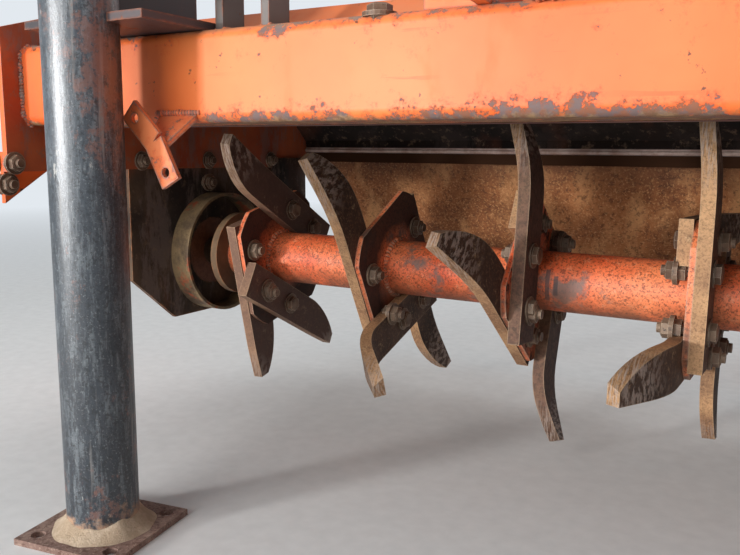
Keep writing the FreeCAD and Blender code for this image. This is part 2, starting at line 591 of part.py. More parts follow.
def blade_shape(x, face, direction, hand, lean, worn_off):
    """A flat bar against its flange, drawn along +Y: its foot leans to one side and its tip is worn."""
    inner = size("flange_thick") / 2
    angle = math.radians(abs(lean))
    reach = size("blade_straight")
    rest = size("blade_reach") - reach - worn_off
    bend = rest * size("blade_bend") / angle
    foot = rest * (1 - size("blade_bend"))
    thick = size("blade_thick")
    wide = size("blade_width")

    def bar_side(out):
        radius = bend - out
        middle = FreeCAD.Vector(bend, reach, 0)
        points = [middle + FreeCAD.Vector(-radius * math.cos(step * angle), radius * math.sin(step * angle), 0)
                  for step in (0, 0.5, 1)]
        run = FreeCAD.Vector(math.sin(angle), math.cos(angle), 0) * foot
        start = FreeCAD.Vector(out, -size("blade_back"), 0)
        return start, points[0], points[1], points[2], points[2] + run

    one = bar_side(0)
    two = bar_side(thick)
    edges = [
        Part.LineSegment(one[0], one[1]).toShape(), Part.Arc(*one[1:4]).toShape(),
        Part.LineSegment(one[3], one[4]).toShape(), Part.LineSegment(one[4], two[4]).toShape(),
        Part.LineSegment(two[4], two[3]).toShape(), Part.Arc(two[3], two[2], two[1]).toShape(),
        Part.LineSegment(two[1], two[0]).toShape(), Part.LineSegment(two[0], one[0]).toShape(),
    ]
    solid = Part.Face(Part.Wire(edges)).extrude(FreeCAD.Vector(0, 0, wide))
    end = max(one[4].y, two[4].y)
    wear = size("blade_wear")
    lost = wide - size("blade_tip")
    corner = FreeCAD.Vector(-bend, end - wear, 0)
    edge = FreeCAD.Vector(-bend, end, lost)
    below = FreeCAD.Vector(-bend, end, -lost)
    swell = FreeCAD.Vector(-bend, end - wear * size("blade_swell"), lost * size("blade_swell"))
    worn = Part.Wire([
        Part.Arc(corner, swell, edge).toShape(),
        Part.LineSegment(edge, below).toShape(),
        Part.LineSegment(below, corner).toShape(),
    ])
    solid = solid.cut(Part.Face(worn).extrude(FreeCAD.Vector(3 * bend, 0, 0)))
    if hand < 0:
        solid = solid.mirror(FreeCAD.Vector(0, 0, wide / 2), AXES["z"])
    solid.translate(FreeCAD.Vector(0, 0, hand * size("blade_offset") - wide / 2))
    if face * lean < 0:
        solid = solid.mirror(FreeCAD.Vector(thick / 2, 0, 0), AXES["x"])
    solid.translate(FreeCAD.Vector(inner, 0, 0))
    if face < 0:
        solid = solid.mirror(FreeCAD.Vector(), AXES["x"])
    solid.rotate(FreeCAD.Vector(), AXES["x"], direction)
    solid.translate(axle_point + FreeCAD.Vector(x, 0, 0))
    return solid


def flange_blades(index):
    """The blades of one flange: from the table, or on past its last row at an even turn."""
    if index < len(BLADES):
        return BLADES[index]
    left = BLADE_START + (index - len(BLADES)) * size("flange_turn")
    right = left - size("face_turn")
    lean_out = size("lean_out")
    lean_in = size("lean_in")
    return (
        (-1, left, 1, -lean_out, 0), (-1, left + 180, 1, lean_in, 0),
        (1, right, 1, lean_out, 0), (1, right + 180, 1, -lean_in, 0),
    )


flanges = []
blades = {-1: [], 1: []}
for index, x in enumerate(flange_at):
    rows = flange_blades(index)
    flanges.append(flange_shape(x, rows[0][1]))
    for face, direction, hand, lean, worn_off in rows:
        blades[face].append(blade_shape(x, face, direction, hand, lean, worn_off))
node(built("Flanges", Part.makeCompound(flanges)), "blade_flanges")
node(built("LeftBlades", Part.makeCompound(blades[-1])), "left_bent_blades")
node(built("RightBlades", Part.makeCompound(blades[1])), "right_bent_blades")

# Hanger bracket under the beam's left end: a sloping plate and a bent strap with two holes.
hanger_x = size("hanger_in") - width / 2
hanger_y = -size("beam_ahead")
hanger_z = size("beam_low") + size("hanger_low")
tip_x = hanger_x + size("hanger_wide") / 2
tip_y = hanger_y - size("hanger_out")
tip_z = hanger_z - size("hanger_dip")
plate_line = Part.makePolygon([
    FreeCAD.Vector(hanger_x, hanger_y, hanger_z),
    FreeCAD.Vector(hanger_x + size("hanger_wide"), hanger_y, hanger_z),
    FreeCAD.Vector(tip_x + size("hanger_nose") / 2, tip_y, tip_z),
    FreeCAD.Vector(tip_x - size("hanger_nose") / 2, tip_y, tip_z),
    FreeCAD.Vector(hanger_x, hanger_y, hanger_z),
])
hanger = Part.Face(plate_line).extrude(FreeCAD.Vector(0, 0, -size("hanger_thick")))
elbow = FreeCAD.Vector(tip_x, tip_y, tip_z)
for turn in (1, -1):
    arm = Part.makeBox(2 * size("strap_half"), size("strap_thick"), size("strap_arm"),
                       elbow + FreeCAD.Vector(-size("strap_half"), -size("strap_thick"), 0))
    if turn < 0:
        arm.translate(FreeCAD.Vector(0, 0, -size("strap_arm")))
    arm_hole = Part.makeCylinder(size("strap_hole"), 2 * size("strap_thick"), elbow + FreeCAD.Vector(
        0, size("strap_thick") / 2, turn * (size("strap_arm") - size("strap_half"))), -AXES["y"])
    arm = arm.cut(arm_hole)
    arm.rotate(elbow, AXES["y"], -size("strap_turn") - turn * size("strap_bow"))
    hanger = hanger.fuse(arm)
node(built("Hanger", hanger), "hanger_bracket")

# Beam-top clip: an upside-down U of flat bar, welded to the beam near its left end.
clip_front = "-beam_ahead + clip_back"
clip_outer = block("ClipOuter", "2 * clip_half", "clip_deep", "clip_tall", f"clip_in - {STAND_X} - clip_half",
                   clip_front, BEAM_TOP)
clip_inner = block("ClipInner", "2 * clip_half - 2 * clip_bar", "clip_deep", "clip_tall - clip_bar",
                   f"clip_in - {STAND_X} - clip_half + clip_bar", clip_front, BEAM_TOP)
node(cut("Clip", clip_outer, clip_inner), "beam_clip")

# Stands: a pipe on a square foot plate, sliding in a sleeve that is carried by the beam.
brackets = []
screws = []
for side, sign in SIDES:
    middle = STAND_X if sign > 0 else "-" + STAND_X
    leg = pipe(side + "Leg", "stand_radius", "stand_radius - stand_wall", "stand_top - foot_thick", "z",
               middle, "-stand_ahead", "foot_thick")
    node(leg, side + "_stand_pipe")
    foot = slab(side + "Foot", "XY_Plane", (
        ("-foot_side / 2", "-foot_side / 2"), ("foot_side / 2", "-foot_side / 2"),
        ("foot_side / 2", "foot_side / 2"), ("-foot_side / 2", "foot_side / 2")), "foot_thick",
        circles=tuple((f"{a} * foot_hole_out / sqrt(2)", f"{b} * foot_hole_out / sqrt(2)", "foot_hole")
                      for a in (-1, 1) for b in (-1, 1)))
    foot.Placement = FreeCAD.Placement(FreeCAD.Vector(), FreeCAD.Rotation(AXES["z"], -sign * size("foot_turn")))
    node(place(foot, middle, "-stand_ahead", "0"), side + "_stand_foot")
    sleeve = rod(side + "Sleeve", "stand_radius + sliding_gap + sleeve_wall", "sleeve_length", "z",
                 middle, "-stand_ahead", "sleeve_low")
    base = block(side + "Base", "2 * base_half", "stand_ahead - beam_ahead + beam_side - beam_corner", "base_thick",
                 f"{middle} - base_half", "-stand_ahead", BEAM_TOP)
    web = block(side + "Web", "base_thick", "stand_ahead - beam_ahead + beam_side - beam_corner",
                f"sleeve_low + sleeve_length - {BEAM_TOP}", f"{middle} - base_thick / 2", "-stand_ahead", BEAM_TOP)
    way = rod(side + "Way", "stand_radius + sliding_gap", "stand_top", "z", middle, "-stand_ahead", "0")
    screw_way = rod(side + "ScrewWay", "screw_radius", "stand_radius + 2 * sleeve_wall", "y", middle,
                    "-stand_ahead - stand_radius - 2 * sleeve_wall", "sleeve_low + screw_up")
    brackets.append(cut(side + "Bracket", fuse(side + "BracketBody", sleeve, base, web), way, screw_way))
    stem = rod(side + "Stem", "screw_radius", "sleeve_wall + screw_out", "y", middle,
               f"-{STAND_FRONT} - screw_out", "sleeve_low + screw_up")
    handle = rod(side + "Handle", "handle_radius", "2 * handle_half", "x", f"{middle} - handle_half",
                 f"-{STAND_FRONT} - screw_out + handle_radius * 2",
                 "sleeve_low + screw_up")
    screws.append(fuse(side + "Screw", stem, handle))
node(several("Brackets", brackets), "stand_brackets")
node(several("Screws", screws), "stand_screws")

# Lower link brackets: plates that stand on feet on the beam and reach ahead to their pins.
LINK_AHEAD = "(-beam_ahead - link_ahead)"
link_plates = []
link_pins = []
for side, sign in SIDES:
    plate = slab(side + "Link", "YZ_Plane", (
        ("-beam_ahead + beam_corner", BEAM_TOP),
        ("-beam_ahead + beam_side - beam_corner", BEAM_TOP),
        ("-beam_ahead + beam_side - beam_corner", f"{LINK_HEIGHT} + link_rise / 2"),
        ("-beam_ahead + beam_side / 2", f"{LINK_HEIGHT} + link_rise"),
        (f"{LINK_AHEAD} + link_nose", f"{LINK_HEIGHT} + link_nose"),
        (f"{LINK_AHEAD} - link_nose / 2", f"{LINK_HEIGHT} + link_nose"),
        (f"{LINK_AHEAD} - link_nose", f"{LINK_HEIGHT} + link_nose / 2"),
        (f"{LINK_AHEAD} - link_nose", f"{LINK_HEIGHT} - link_nose / 2"),
        (f"{LINK_AHEAD} - link_nose / 2", f"{LINK_HEIGHT} - link_nose"),
        (f"{LINK_AHEAD} + link_nose", f"{LINK_HEIGHT} - link_nose")), "link_plate",
        "link_side - link_plate" if sign > 0 else "-link_side",
        circles=((LINK_AHEAD, LINK_HEIGHT, "link_shoulder"),))
    foot = block(side + "LinkFoot", "link_foot", "beam_side - 2 * beam_corner", "link_foot_thick",
                 "link_side" if sign > 0 else "-link_side - link_foot", "-beam_ahead + beam_corner", BEAM_TOP)
    link_plates.append(fuse(side + "LinkBracket", plate, foot))
    stem = rod(side + "LinkStem", "link_pin", "link_pin_length", "x",
               "link_side" if sign > 0 else "-link_side - link_pin_length", LINK_AHEAD, LINK_HEIGHT)
    shoulder = rod(side + "LinkShoulder", "link_shoulder", "link_plate", "x",
                   "link_side - link_plate" if sign > 0 else "-link_side", LINK_AHEAD, LINK_HEIGHT)
    head = rod(side + "LinkHead", "link_head", "link_head_long", "x",
               "link_side - link_plate - link_head_long" if sign > 0 else "-link_side + link_plate",
               LINK_AHEAD, LINK_HEIGHT)
    link_pins.append(fuse(side + "LinkPin", stem, shoulder, head))
node(several("LinkBrackets", link_plates), "lower_link_brackets")
node(several("LinkPins", link_pins), "lower_link_pins")

# Mast: two legs from the beam that meet at the top link ears, and two braces to the rear beam.
EAR_IN = "(mast_gap / 2)"
EAR_OUT = "(mast_gap / 2 + mast_plate)"
MAST_HOLE = f"({LINK_HEIGHT} + mast_height)"
mast_legs = []
mast_braces = []
for side, sign in SIDES:
    outline = (
        ("mast_foot", BEAM_TOP), (EAR_IN, f"{MAST_HOLE} - mast_join"),
        (EAR_IN, f"{MAST_HOLE} + mast_cap"), (EAR_OUT, f"{MAST_HOLE} + mast_cap"),
        (EAR_OUT, f"{MAST_HOLE} - mast_join + mast_plate"),
        ("mast_foot + mast_plate * 2", BEAM_TOP))
    if sign < 0:
        outline = tuple((f"-({across})", up) for across, up in outline)
    leg = slab(side + "Mast", "XZ_Plane", outline, "mast_depth", "0", "-beam_ahead + mast_depth")
    ear = slab(side + "Ear", "YZ_Plane", (
        ("-beam_ahead + mast_depth / 2", f"{MAST_HOLE} - mast_join + mast_plate"),
        ("-beam_ahead + mast_depth / 2", f"{MAST_HOLE} + mast_cap"),
        ("-beam_ahead - ear_ahead", f"{MAST_HOLE} + mast_cap"),
        ("-beam_ahead - ear_ahead - mast_cap", f"{MAST_HOLE} + mast_cap / 2"),
        ("-beam_ahead - ear_ahead - mast_cap", f"{MAST_HOLE} - mast_cap / 2"),
        ("-beam_ahead - ear_ahead", f"{MAST_HOLE} - mast_cap")),
        "mast_plate", EAR_IN if sign > 0 else f"-{EAR_OUT}")
    hole = rod(side + "MastHole", "mast_hole", "mast_gap + 4 * mast_plate", "x", "-mast_gap / 2 - 2 * mast_plate",
               "-beam_ahead - ear_ahead", MAST_HOLE)
    mast_legs.append(cut(side + "MastLeg", fuse(side + "MastBody", leg, ear), hole))
    brace = slab(side + "Brace", "YZ_Plane", (
        ("-beam_ahead + mast_depth", f"{MAST_HOLE} - brace_width"),
        ("-beam_ahead + mast_depth", f"{MAST_HOLE} + brace_top"),
        ("rear_beam_at + rear_beam", f"{HOOD_TOP} + rear_beam"),
        ("rear_beam_at", f"{HOOD_TOP} + rear_beam")), "brace_thick",
        EAR_IN if sign > 0 else f"-{EAR_IN} - brace_thick")
    mast_braces.append(brace)
node(several("MastLegs", mast_legs), "mast_legs")
node(several("MastBraces", mast_braces), "mast_braces")
node(block("RearBeam", "inner_width", "rear_beam", "rear_beam", f"-{END_IN}", "rear_beam_at", HOOD_TOP),
     "rear_cross_beam")

# Gearbox with its plate, nose, input shaft and guard, and the cross shaft tube to the drive case.
node(block("GearPlate", "2 * gear_half + 2 * gear_foot", "gear_long + 2 * gear_plate", "gear_plate",
           "-gear_half - gear_foot",
           "-gear_ahead - gear_plate", HOOD_TOP), "gearbox_plate")
casing = block("Casing", "2 * gear_half", "gear_long", "gear_tall", "-gear_half", "-gear_ahead", GEAR_LOW)
nose = rod("Nose", "nose_radius", "nose_long", "y", "0", "-gear_ahead - nose_long", SHAFT_HEIGHT)
nose_bore = rod("NoseBore", "input_journal + running_gap", "input_in + blind_gap", "y", "0",
                "-gear_ahead - nose_long", SHAFT_HEIGHT)
node(cut("Gearbox", fuse("GearBody", casing, nose), nose_bore), "gearbox")
input_end = rod("InputEnd", "input_radius", "input_out", "y", "0",
                "-gear_ahead - nose_long - input_out", SHAFT_HEIGHT)
input_inner = rod("InputInner", "input_journal", "input_in", "y", "0", "-gear_ahead - nose_long", SHAFT_HEIGHT)
node(fuse("Input", input_end, input_inner), "drive_input_shaft")
guard_out = rod("GuardOut", "guard_radius", "guard_long", "y", "0",
                "-gear_ahead - nose_long - guard_long + gear_plate", SHAFT_HEIGHT)
guard_in = rod("GuardIn", "guard_radius - guard_wall", "guard_long - guard_wall", "y", "0",
               "-gear_ahead - nose_long - guard_long + gear_plate", SHAFT_HEIGHT)
guard_hole = rod("GuardHole", "nose_radius", "guard_long", "y", "0",
                 "-gear_ahead - nose_long - guard_long + gear_plate", SHAFT_HEIGHT)
guard_open = block("GuardOpen", "2 * guard_radius", "guard_long - guard_wall", "guard_radius", "-guard_radius",
                   "-gear_ahead - nose_long - guard_long + gear_plate", f"{SHAFT_HEIGHT} - guard_cut - guard_radius")
node(cut("Guard", guard_out, guard_in, guard_hole, guard_open), "input_guard")
node(rod("CrossTube", "cross_radius", f"{END_OUT} - gear_half", "x", "gear_half", "-cross_ahead", SHAFT_HEIGHT),
     "cross_shaft_tube")

# Depth wheel: arm, sleeve, column with fork, axle, rim and tyre.
arm = block("Arm", "rear_beam", "wheel_behind - rear_beam_at - rear_beam", "rear_beam", "-rear_beam / 2",
            "rear_beam_at + rear_beam", HOOD_TOP)
arm_sleeve = rod("ArmSleeve", "column_radius + sliding_gap + column_sleeve", "column_way", "z", "0",
                 "wheel_behind", f"{HOOD_TOP} - column_way_low")
arm_way = rod("ArmWay", "column_radius + sliding_gap", "column_top", "z", "0", "wheel_behind", "0")
node(cut("WheelArm", fuse("ArmBody", arm, arm_sleeve), arm_way), "depth_wheel_arm")
CROWN = "(2 * tyre_radius + fork_rise)"
node(rod("Column", "column_radius", f"column_top - {CROWN} - fork_plate", "z", "0", "wheel_behind",
         f"{CROWN} + fork_plate"), "depth_wheel_column")
crown = block("Crown", "2 * (tyre_half + fork_gap + fork_plate)", "fork_width", "fork_plate",
              "-tyre_half - fork_gap - fork_plate", "wheel_behind - fork_width / 2", CROWN)
fork_legs = [
    block(side + "ForkLeg", "fork_plate", "fork_width", f"{CROWN} - tyre_radius + fork_width / 2",
          "tyre_half + fork_gap" if sign > 0 else "-tyre_half - fork_gap - fork_plate",
          "wheel_behind - fork_width / 2", "tyre_radius - fork_width / 2")
    for side, sign in SIDES]
axle = rod("Axle", "axle_radius", "2 * (tyre_half + fork_gap + fork_plate)", "x",
           "-tyre_half - fork_gap - fork_plate", "wheel_behind", "tyre_radius")
node(fuse("Fork", crown, axle, *fork_legs), "depth_wheel_fork")
rim_disc = rod("RimDisc", "rim_radius", "tyre_half", "x", "-tyre_half / 2", "wheel_behind", "tyre_radius")
rim_hub = rod("RimHub", "wheel_hub", "2 * (tyre_half + fork_gap / 2)", "x", "-tyre_half - fork_gap / 2",
              "wheel_behind", "tyre_radius")
rim_bore = rod("RimBore", "axle_radius + running_gap", "4 * tyre_half", "x", "-2 * tyre_half",
               "wheel_behind", "tyre_radius")
node(cut("Rim", fuse("RimBody", rim_disc, rim_hub), rim_bore), "depth_wheel_rim")
node(pipe("Tyre", "tyre_radius", "rim_radius", "2 * tyre_half", "x", "-tyre_half", "wheel_behind", "tyre_radius"),
     "depth_wheel_tyre")

doc.recompute()
for thing in doc.Objects:
    if "Invalid" in thing.State or "Error" in thing.State:
        raise RuntimeError(f"{thing.Name} failed: {thing.State}")
for thing in nodes:
    if thing.Shape.isNull() or not thing.Shape.isValid():
        raise RuntimeError(f"{thing.Label} has no valid shape")
for thing in nodes:
    thing.Shape.exportStep(f"parts/{thing.Label}.step")
print(len(nodes), "pieces")
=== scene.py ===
"""A tractor rotavator, parked on its stands, seen close from its left front corner."""

import bpy
import math
from mathutils import Matrix, Vector, noise


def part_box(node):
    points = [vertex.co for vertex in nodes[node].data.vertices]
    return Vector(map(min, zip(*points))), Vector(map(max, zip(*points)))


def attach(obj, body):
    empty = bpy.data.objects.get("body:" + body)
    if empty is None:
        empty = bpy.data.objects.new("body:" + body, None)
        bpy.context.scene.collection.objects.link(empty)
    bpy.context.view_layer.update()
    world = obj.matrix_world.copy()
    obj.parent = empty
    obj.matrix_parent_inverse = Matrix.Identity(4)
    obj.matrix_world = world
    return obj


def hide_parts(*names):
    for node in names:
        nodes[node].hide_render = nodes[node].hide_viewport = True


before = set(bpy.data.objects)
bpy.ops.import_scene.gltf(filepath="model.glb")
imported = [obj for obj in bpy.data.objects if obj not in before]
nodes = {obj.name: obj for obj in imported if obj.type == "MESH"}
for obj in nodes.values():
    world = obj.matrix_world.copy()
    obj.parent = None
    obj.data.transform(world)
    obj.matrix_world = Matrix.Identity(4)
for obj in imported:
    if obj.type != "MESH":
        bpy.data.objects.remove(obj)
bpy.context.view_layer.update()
scene = bpy.context.scene

# The view: a wide lens at hip height, close to the left stand, looking down under the front beam
# and across the rotor to the rear right corner.
PICTURE_WIDTH = 740
FOCAL_PIXELS = 783
SENSOR = 36
eye = Vector((-0.095, -1.339, 0.483))
right = Vector((0.8617, 0.5074, 0.0083))
down = Vector((0.0878, -0.1330, -0.9872))
forward = Vector((-0.4998, 0.8514, -0.1591))
camera = bpy.data.objects.new("Camera", bpy.data.cameras.new("Camera"))
camera.data.sensor_width = SENSOR
camera.data.lens = SENSOR * FOCAL_PIXELS / PICTURE_WIDTH
camera.data.clip_start = 0.02
camera.matrix_world = Matrix.Translation(eye) @ Matrix((right, -down, -forward)).transposed().to_4x4()
scene.collection.objects.link(camera)
scene.camera = camera
scene.view_settings.view_transform = "Standard"

# Floor and light: pale ground that fades into a pale sky further out, one lamp from the left front
# like low sun, and two broad weak lamps that open the shadows.


class Wire:
    """One value on its way through a tree of nodes. Sums add Math nodes, and node() adds any other kind."""

    def __init__(self, tree, socket=None):
        self.tree = tree
        self.socket = socket

    def node(self, kind, settings, values, out=0):
        made = self.tree.nodes.new(kind if "Node" in kind else "ShaderNode" + kind)
        for name, setting in settings.items():
            setattr(made, name, setting)
        for name, value in values.items():
            if isinstance(value, Wire):
                self.tree.links.new(value.socket, made.inputs[name])
            else:
                made.inputs[name].default_value = value
        return Wire(self.tree, made.outputs[out])

    def sum(self, operation, one, two):
        return self.node("Math", {"operation": operation}, {0: one, 1: two})

    def __add__(self, other):
        return self.sum("ADD", self, other)

    def __radd__(self, other):
        return self.sum("ADD", other, self)

    def __sub__(self, other):
        return self.sum("SUBTRACT", self, other)

    def __rsub__(self, other):
        return self.sum("SUBTRACT", other, self)

    def __mul__(self, other):
        return self.sum("MULTIPLY", self, other)

    def __rmul__(self, other):
        return self.sum("MULTIPLY", other, self)

    def between(self, low, high):
        """0 below low, 1 above high and a straight slope between them."""
        return self.node("MapRange", {}, {"Value": self, "From Min": low, "From Max": high})

    def noise(self, scale, detail=4, roughness=0.55, stretch=(1, 1, 1)):
        place = self.node("Mapping", {}, {"Vector": self, "Scale": stretch})
        return self.node("TexNoise", {},
                         {"Vector": place, "Scale": scale, "Detail": detail, "Roughness": roughness})

    def mix(self, mask, one, two):
        """Colour one where the mask is 0, and colour two where it is 1."""
        return self.node("Mix", {"data_type": "RGBA"}, {0: mask, 6: one, 7: two}, 2)


def colour(text):
    """A hex colour as the eye sees it, in the renderer's own linear light."""
    parts = [int(text[step:step + 2], 16) / 255 for step in (0, 2, 4)]
    linear = [part / 12.92 if part < 0.04045 else ((part + 0.055) / 1.055) ** 2.4 for part in parts]
    return (*linear, 1)


def finish_of(name, make):
    """A new material. make gets the place on the piece and says what its surface is there."""
    material = bpy.data.materials.new(name)
    material.use_nodes = True
    tree = material.node_tree
    shader = tree.nodes["Principled BSDF"]
    place = Wire(tree).node("TexCoord", {}, {}, "Object")
    for socket, value in make(place).items():
        if isinstance(value, Wire):
            tree.links.new(value.socket, shader.inputs[socket])
        else:
            shader.inputs[socket].default_value = value
    return material


FLOOR_HALF = 30
FADE_FROM = 2.4
FADE_TO = 6.5
SKY = colour("e6ecf2")
BLACK = colour("000000")
floor_mesh = bpy.data.meshes.new("floor")
floor_mesh.from_pydata([(-FLOOR_HALF, -FLOOR_HALF, 0), (FLOOR_HALF, -FLOOR_HALF, 0),
                        (FLOOR_HALF, FLOOR_HALF, 0), (-FLOOR_HALF, FLOOR_HALF, 0)], [], [(0, 1, 2, 3)])
floor = bpy.data.objects.new("floor", floor_mesh)
scene.collection.objects.link(floor)


def pale_floor(place):
    """Pale ground under the piece, which fades into the sky further out and keeps the shadow near it."""
    away = place.node("VectorMath", {"operation": "LENGTH"}, {0: place}, "Value")
    far = away.between(FADE_FROM, FADE_TO) * place.node("LightPath", {}, {}, "Is Camera Ray")
    near = place.mix(place.noise(40).between(0.3, 0.7), colour("e9e9e7"), colour("f1f1ef"))
    return {"Base Color": place.mix(far, near, BLACK), "Roughness": 0.9, "Specular IOR Level": 0.0,
            "Emission Color": place.mix(far, BLACK, SKY), "Emission Strength": 0.97}


floor_mesh.materials.append(finish_of("pale floor", pale_floor))
scene.world = bpy.data.worlds.new("sky")
scene.world.use_nodes = True
world_tree = scene.world.node_tree
background = world_tree.nodes["Background"]
background.inputs["Color"].default_value = SKY
sky = Wire(world_tree)
seen = sky.node("LightPath", {}, {}, "Is Camera Ray") + sky.node("LightPath", {}, {}, "Is Glossy Ray") * 0.6
world_tree.links.new((seen * 0.55 + 0.42).socket, background.inputs["Strength"])
for name, place, aim, width, power in (
        ("key lamp", (-2.7, -4.3, 0.72), (-0.4, 0, 0.35), 0.45, 132),
        ("fill lamp", (-1.2, -3.8, 1.3), (0, 0, 0.5), 2.0, 74),
        ("rear lamp", (0.5, 4.5, 3.5), (0, 0, 0.5), 3.0, 95)):
    lamp = bpy.data.lights.new(name, "AREA")
    lamp.size = width
    lamp.energy = power
    aimed = (Vector(place) - Vector(aim)).to_track_quat("Z", "Y").to_matrix().to_4x4()
    held = bpy.data.objects.new(name, lamp)
    held.matrix_world = Matrix.Translation(place) @ aimed
    scene.collection.objects.link(held)

# Front beam: thick square tube with rolled corners, sprayed orange long ago. Stones have chipped
# it along its lower and upper edges down to a grey-mauve primer, and dry soil clings underneath.
ORANGE = colour("df6124")
ORANGE_FADED = colour("e87f42")
PRIMER = colour("75625f")
RUST = colour("6d3a22")
RUST_PALE = colour("a5683f")
DUST = colour("b79a7c")
CHIPPED_UNDER = 0.030
CHIPPED_OVER = 0.022


def dress(material, *names):
    """Give CAD nodes a material in place of the plain one they come with."""
    for name in names:
        slots = nodes[name].data.materials
        slots.clear()
        slots.append(material)


def axis_of(place, index):
    """One coordinate of the place on the piece: 0 across, 1 front to back, 2 up."""
    return place.node("SeparateXYZ", {}, {0: place}, index)


def worn_edge(place, radius):
    """Where a piece turns a corner: its normal set against the same normal with rounded edges."""
    rounded = place.node("Bevel", {"samples": 5}, {"Radius": radius})
    flat = place.node("NewGeometry", {}, {}, "Normal")
    facing = place.node("VectorMath", {"operation": "DOT_PRODUCT"}, {0: rounded, 1: flat}, "Value")
    return (1 - facing).between(0.02, 0.25)


def upward(place, low, high):
    """1 where the surface faces the sky, and dust settles."""
    turned = place.node("NewGeometry", {}, {}, "Normal")
    return axis_of(turned, 2).between(low, high)


def raised(place, strength, distance, rise):
    """Small bumps that catch the light."""
    return place.node("Bump", {}, {"Strength": strength, "Distance": distance, "Height": rise})


def painted(fresh, faded, chipped, thinned=colour("d9481c"), chip_at=0.70, dusty=0.5, bands=None):
    """Old paint over steel: fading in clouds, chips in spots and on edges, and dust on top. bands are the
    heights of a beam's lower and upper faces, beside which it is chipped most."""

    def make(place):
        clouds = place.noise(2.6, 5).between(0.38, 0.66)
        spots = place.noise(46, 10, 0.78)
        patches = place.noise(6.5, 5, 0.6, (1, 1, 1.6))
        edge = worn_edge(place, 0.006)
        wear = spots * 0.62 + patches * 0.38 + edge * 0.16
        grit = 0
        if bands:
            low, high = bands
            rise = axis_of(place, 2)
            under = (low + CHIPPED_UNDER - rise).between(0, CHIPPED_UNDER)
            over = (rise - high + CHIPPED_OVER).between(0, CHIPPED_OVER)
            wear = wear + under * 0.15 + over * 0.11
            grit = (under * 0.5 + place.noise(26, 8, 0.75)).between(0.93, 1.06)
        chips = wear.between(chip_at - 0.07, chip_at - 0.055)
        thin = wear.between(chip_at - 0.13, chip_at - 0.07)
        deep = place.noise(85, 5).between(0.46, 0.58)
        dust = upward(place, 0.3, 0.9) * place.noise(9, 6).between(0.35, 0.62) * dusty
        grime = place.noise(16, 8, 0.7, (1, 1, 0.4)).between(0.54, 0.76)
        pits = place.noise(75, 5, 0.6).between(0.68, 0.71)
        skin = place.mix(clouds, fresh, faded)
        stain = [(one + two) / 2 for one, two in zip(thinned, chipped)]
        skin = place.mix(grime * 0.25, skin, stain)
        skin = place.mix(thin * 0.45, skin, thinned)
        skin = place.mix(pits, skin, RUST)
        skin = place.mix(chips, skin, place.mix(deep, chipped, colour("8d5c46")))
        skin = place.mix(dust, skin, DUST)
        if bands:
            lengthways = place.noise(85, 3, 0.5, (0.05, 1, 1)).between(0.655, 0.675)
            scratched = lengthways * place.noise(5, 3).between(0.45, 0.6)
            skin = place.mix(scratched * 0.5, skin, colour("b4511f"))
            skin = place.mix(grit * 0.9, skin, place.mix(deep, colour("a98660"), colour("7c6148")))
        relief = spots * 0.12 - chips * 0.5 + grit * 1.2
        return {"Base Color": skin, "Roughness": 0.46 + grime * 0.14 + chips * 0.3 + dust * 0.2,
                "Specular IOR Level": 0.35, "Normal": raised(place, 0.5, 0.0014, relief)}

    return make


beam_low, beam_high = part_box("front_beam")
beam_paint = finish_of("chipped beam paint", painted(ORANGE, ORANGE_FADED, PRIMER, chip_at=0.685,
                                                     bands=(beam_low[2], beam_high[2])))
dress(beam_paint, "front_beam")

# Frame: end plates, mast, rear beam, wheel arm and link brackets, flame-cut plate and square tube in
# the same old orange paint. The clip on the beam and the hanger have lost more of theirs.
orange_paint = finish_of("worn orange paint", painted(ORANGE, ORANGE_FADED, PRIMER, chip_at=0.685))
dress(orange_paint, "rear_cross_beam", "gearbox_plate", "cross_shaft_tube", "depth_wheel_arm",
      "depth_wheel_column", "depth_wheel_fork", "depth_wheel_rim", "mast_legs", "mast_braces",
      "lower_link_brackets", "front_brackets", "hinge_rail", "hinge_eyes")
hanger_paint = finish_of("hanger paint", painted(colour("e8662f"), colour("e9905f"), colour("8f7d74"),
                                                 chip_at=0.585, dusty=0.2))
dress(hanger_paint, "hanger_bracket")
clip_paint = finish_of("greyed clip", painted(colour("4a4440"), colour("6b635e"), colour("6b4635"),
                                              colour("5a4038"), 0.66, 0.25))
dress(clip_paint, "beam_clip")

# Weld beads: runs of overlapping ripples where plates meet the beam, and round the rotor tube at
# each flange. They are painted with what they join.
RIPPLE_STEP = 1.05
FRAME_BEAD = 0.0042
PROUD = 0.001
ROLLED_CORNER = 0.012
HANGER_WELD = (0.016, 0.085)
CLIP_BAR = 0.012
CLIP_SHORT = 0.002
LINK_PLATE_FACES = (0.4125, 0.3975)
LINK_PLATE_SHORT = 0.014
MAST_FOOT = (0.318, 0.352)


def new_tree(name, sizes):
    """A Geometry Nodes tree with its named inputs, and those inputs as wires."""
    tree = bpy.data.node_groups.new(name, "GeometryNodeTree")
    tree.interface.new_socket("Geometry", in_out="INPUT", socket_type="NodeSocketGeometry")
    for size, usual in sizes.items():
        tree.interface.new_socket(size, in_out="INPUT", socket_type="NodeSocketFloat").default_value = usual
    tree.interface.new_socket("Finish", in_out="INPUT", socket_type="NodeSocketMaterial")
    tree.interface.new_socket("Geometry", in_out="OUTPUT", socket_type="NodeSocketGeometry")
    entry = tree.nodes.new("NodeGroupInput")
    return {socket.name: Wire(tree, socket) for socket in entry.outputs if socket.name}


def close_tree(shape, given):
    """The tree's end: real faces instead of copies, in the finish that was asked for."""
    real = shape.node("GeometryNodeRealizeInstances", {}, {"Geometry": shape})
    done = real.node("GeometryNodeSetMaterial", {}, {"Geometry": real, "Material": given["Finish"]})
    done.tree.links.new(done.socket, done.tree.nodes.new("NodeGroupOutput").inputs[0])
    return done.tree


